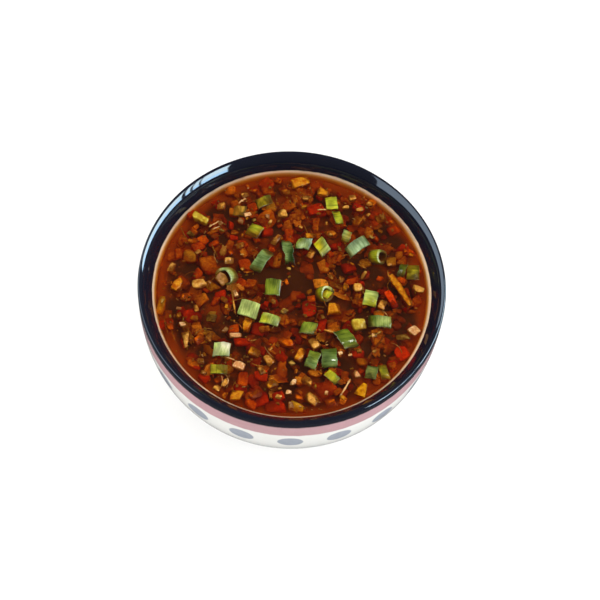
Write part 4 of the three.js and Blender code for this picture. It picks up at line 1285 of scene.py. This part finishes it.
# Panes of a window at the right, in degrees from and to, and its two rows: name, lowest and
# highest elevation, radiance and colour
PANES = ((-44, -26), (-24.5, -20.5), (-18.5, -15), (-12, 31))
PANE_ROWS = (("pane", 12, 36, 20.0, (0.68, 0.875, 1.0)), ("sky_pane", 4, 12, 22.0, (0.45, 0.72, 1.0)))
PANE_DISTANCE = 0.9


def make_floor():
    """A plain pale studio floor."""
    finish, tree, surface = new_finish("pale_floor", {
        "Roughness": 0.9, "Specular IOR Level": 0.1, "Emission Color": (1, 1, 1, 1)})
    # Near the bowl it glows less to the eye than to the bowl, which keeps the shadow at the foot
    away = add(tree, "TexCoord", output="Object")
    away = add(tree, "VectorMath", (away,), "Value", operation="LENGTH")
    near = add(tree, "MapRange", (away, *FOOT_SHADOW), **SOFT)
    seen = add(tree, "LightPath", output="Is Camera Ray")
    near = add(tree, "Math", (near, seen), operation="MULTIPLY")
    glow = add(tree, "MapRange", {"Value": near, "To Min": FLOOR_GLOW, "To Max": FLOOR_GLOW_SEEN})
    tree.links.new(glow, surface["Emission Strength"])
    grain = add(tree, "TexNoise", {"Scale": 3.0})
    first, second = (srgb(code) for code in FLOOR_GREYS)
    grey = add(tree, "Mix", {0: grain, 6: first, 7: second}, 2, **COLOUR)
    tree.links.new(grey, surface["Base Color"])
    x, y = turned_places([STUDIO_RADIUS], 64)
    points = np.hstack([x, y, np.zeros_like(x)])
    floor = make_object("floor", points, [list(range(len(points)))], [finish])
    floor.visible_glossy = False


def area_light(name, place, aim, width, height, radiance, colour, gloss, diffuse):
    """A soft panel. Radiance is against white paper in full light; gloss and diffuse say whether
    it shows in reflections and whether it lights matt surfaces."""
    light = bpy.data.lights.new(name, "AREA")
    light.shape = "RECTANGLE"
    light.size, light.size_y = width, height
    light.color = colour
    light.energy = radiance * math.pi * width * height
    lamp = bpy.data.objects.new(name, light)
    lamp.location = place
    lamp.rotation_euler = (Vector(aim) - Vector(place)).to_track_quat("-Z", "Y").to_euler()
    lamp.visible_camera = False
    lamp.visible_transmission = False
    lamp.visible_glossy = gloss
    lamp.visible_diffuse = diffuse
    bpy.context.scene.collection.objects.link(lamp)
    return lamp


def window_panes():
    """Panes with dark bars between them, of which only the reflections matter."""
    lamps = []
    for name, low, high, radiance, colour in PANE_ROWS:
        foot, head = (PANE_DISTANCE * math.tan(math.radians(a)) for a in (low, high))
        height = BOWL_HEIGHT * MM + (foot + head) / 2
        for start, stop in PANES:
            middle = math.radians((start + stop) / 2)
            width = 2 * PANE_DISTANCE * math.tan(math.radians((stop - start) / 2))
            place = (PANE_DISTANCE * math.cos(middle), PANE_DISTANCE * math.sin(middle), height)
            lamps.append(area_light(name, place, (0, 0, height), width, head - foot, radiance, colour,
                                    True, False))
    return lamps


def make_world():
    """A dim sky for the light and a white one for the eye."""
    world = bpy.data.worlds.new("studio")
    world.use_nodes = True
    tree = world.node_tree
    tree.nodes.clear()
    seen = add(tree, "LightPath", output="Is Camera Ray")
    dim = add(tree, "Background", {"Color": (0.94, 0.96, 1, 1), "Strength": 0.12})
    pale = add(tree, "Background", {"Color": (1, 1, 1, 1), "Strength": 1.0})
    backdrop = add(tree, "MixShader", (seen, dim, pale))
    add(tree, "OutputWorld", {"Surface": backdrop})
    world.cycles_visibility.transmission = False
    bpy.context.scene.world = world


def shine_on(lamps, pieces):
    """Lets lamps reach only these pieces."""
    group = bpy.data.collections.new("lit_by_" + lamps[0].name)
    for piece in pieces:
        group.objects.link(piece)
    for lamp in lamps:
        lamp.light_linking.receiver_collection = group


# The photograph's view: from the near side, rim centre a little left of and above the middle
VIEW_ELEVATION = 61.926
VIEW_ROLL = -4.307
VIEW_DISTANCE = 422.5
FRAME_PIXELS = 600
FOCAL_PIXELS = 1003.75
RIM_CENTRE_PIXEL = (292.77, 277.88)
SENSOR = 36.0


def make_camera():
    """The camera turned so that the rim's centre falls on its pixel of the photograph."""
    e, roll = math.radians(VIEW_ELEVATION), math.radians(VIEW_ROLL)
    forward = np.array([0, math.cos(e), -math.sin(e)])
    right = np.array([1.0, 0, 0])
    up = np.cross(right, forward)
    middle = FRAME_PIXELS / 2
    ray = np.array([(RIM_CENTRE_PIXEL[0] - middle) / FOCAL_PIXELS,
                    (middle - RIM_CENTRE_PIXEL[1]) / FOCAL_PIXELS, 1.0])
    ray /= np.linalg.norm(ray)
    axis = np.cross(ray, [0, 0, 1])
    skew = np.array([[0, -axis[2], axis[1]], [axis[2], 0, -axis[0]], [-axis[1], axis[0], 0]])
    aside = np.eye(3) + skew + skew @ skew / (1 + ray[2])
    spin = np.array([[math.cos(roll), -math.sin(roll), 0], [math.sin(roll), math.cos(roll), 0],
                     [0, 0, 1]])
    axes = aside.T @ spin @ np.array([right, up, forward])
    spot = -VIEW_DISTANCE * forward + np.array([0, 0, BOWL_HEIGHT])
    data = bpy.data.cameras.new("camera")
    data.sensor_width = SENSOR
    data.lens = FOCAL_PIXELS / FRAME_PIXELS * SENSOR
    data.clip_start, data.clip_end = 0.01, 20
    camera = bpy.data.objects.new("camera", data)
    turned = Matrix((axes.T * (1, 1, -1)).tolist()).to_4x4()
    camera.matrix_world = Matrix.Translation((spot * MM).tolist()) @ turned
    bpy.context.scene.collection.objects.link(camera)
    bpy.context.scene.camera = camera


make_camera()
for lamp_settings in LAMPS:
    area_light(*lamp_settings, False, True)
panes = window_panes()
left_wall = area_light(*LEFT_WALL, True, False)
make_world()
glint = area_light(*GLINT, True, False)
make_floor()
bpy.context.scene.view_settings.view_transform = "Standard"

make_bowl()
all_dice = DICE + fine_dice()
make_broth(all_dice)
onion_finish = cut_spring_onion()
for number, slab_row in enumerate(ONION_SLABS):
    make_slab(slab_row, number, onion_finish)
for number, ring_row in enumerate(ONION_RINGS):
    make_ring(ring_row, number, onion_finish)
make_murk()
wet = {kind: cooked_flesh(kind, False) for kind in FLESH}
sunk = {kind: cooked_flesh(kind, True) for kind in FLESH}
for number, chunk_row in enumerate(CHUNKS):
    make_chunk(chunk_row, number, wet[chunk_row[-1]])
standing_dice = dice_cutter(divisions=8, tilt=16, top_of=lambda row: SOUP_LEVEL + row[5])
sunk_dice = dice_cutter(divisions=5, tilt=22, top_of=lambda row: SOUP_LEVEL - row[5])
crumbs = dice_cutter(divisions=3, tilt=22, top_of=lambda row: SOUP_LEVEL - row[5])
for heap in make_heaps("dice", all_dice, standing_dice, wet, seed=400):
    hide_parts("soup")
make_heaps("sunk", SUNK + deep_rows(), sunk_dice, sunk, seed=500)
make_heaps("crumbs", crumb_rows(), crumbs, wet, seed=540)
make_heaps("leaves", flake_rows(), flake, sunk, seed=660)
make_heaps("shreds", SHREDS, shred, wet, seed=600)
make_heaps("fibres", fibre_rows(), shred, wet, seed=620)
# The wet food and the broth's skin glint; window and wall are for the glaze, and from low down
# they would hide the soup behind a mirror of themselves
shine_on([glint], [piece for piece in made if piece.name not in ("porcelain_bowl", "floor")])
shine_on(panes, [piece for piece in made if piece.name != "broth"])
shine_on([left_wall], [piece for piece in made if piece.name == "porcelain_bowl"])
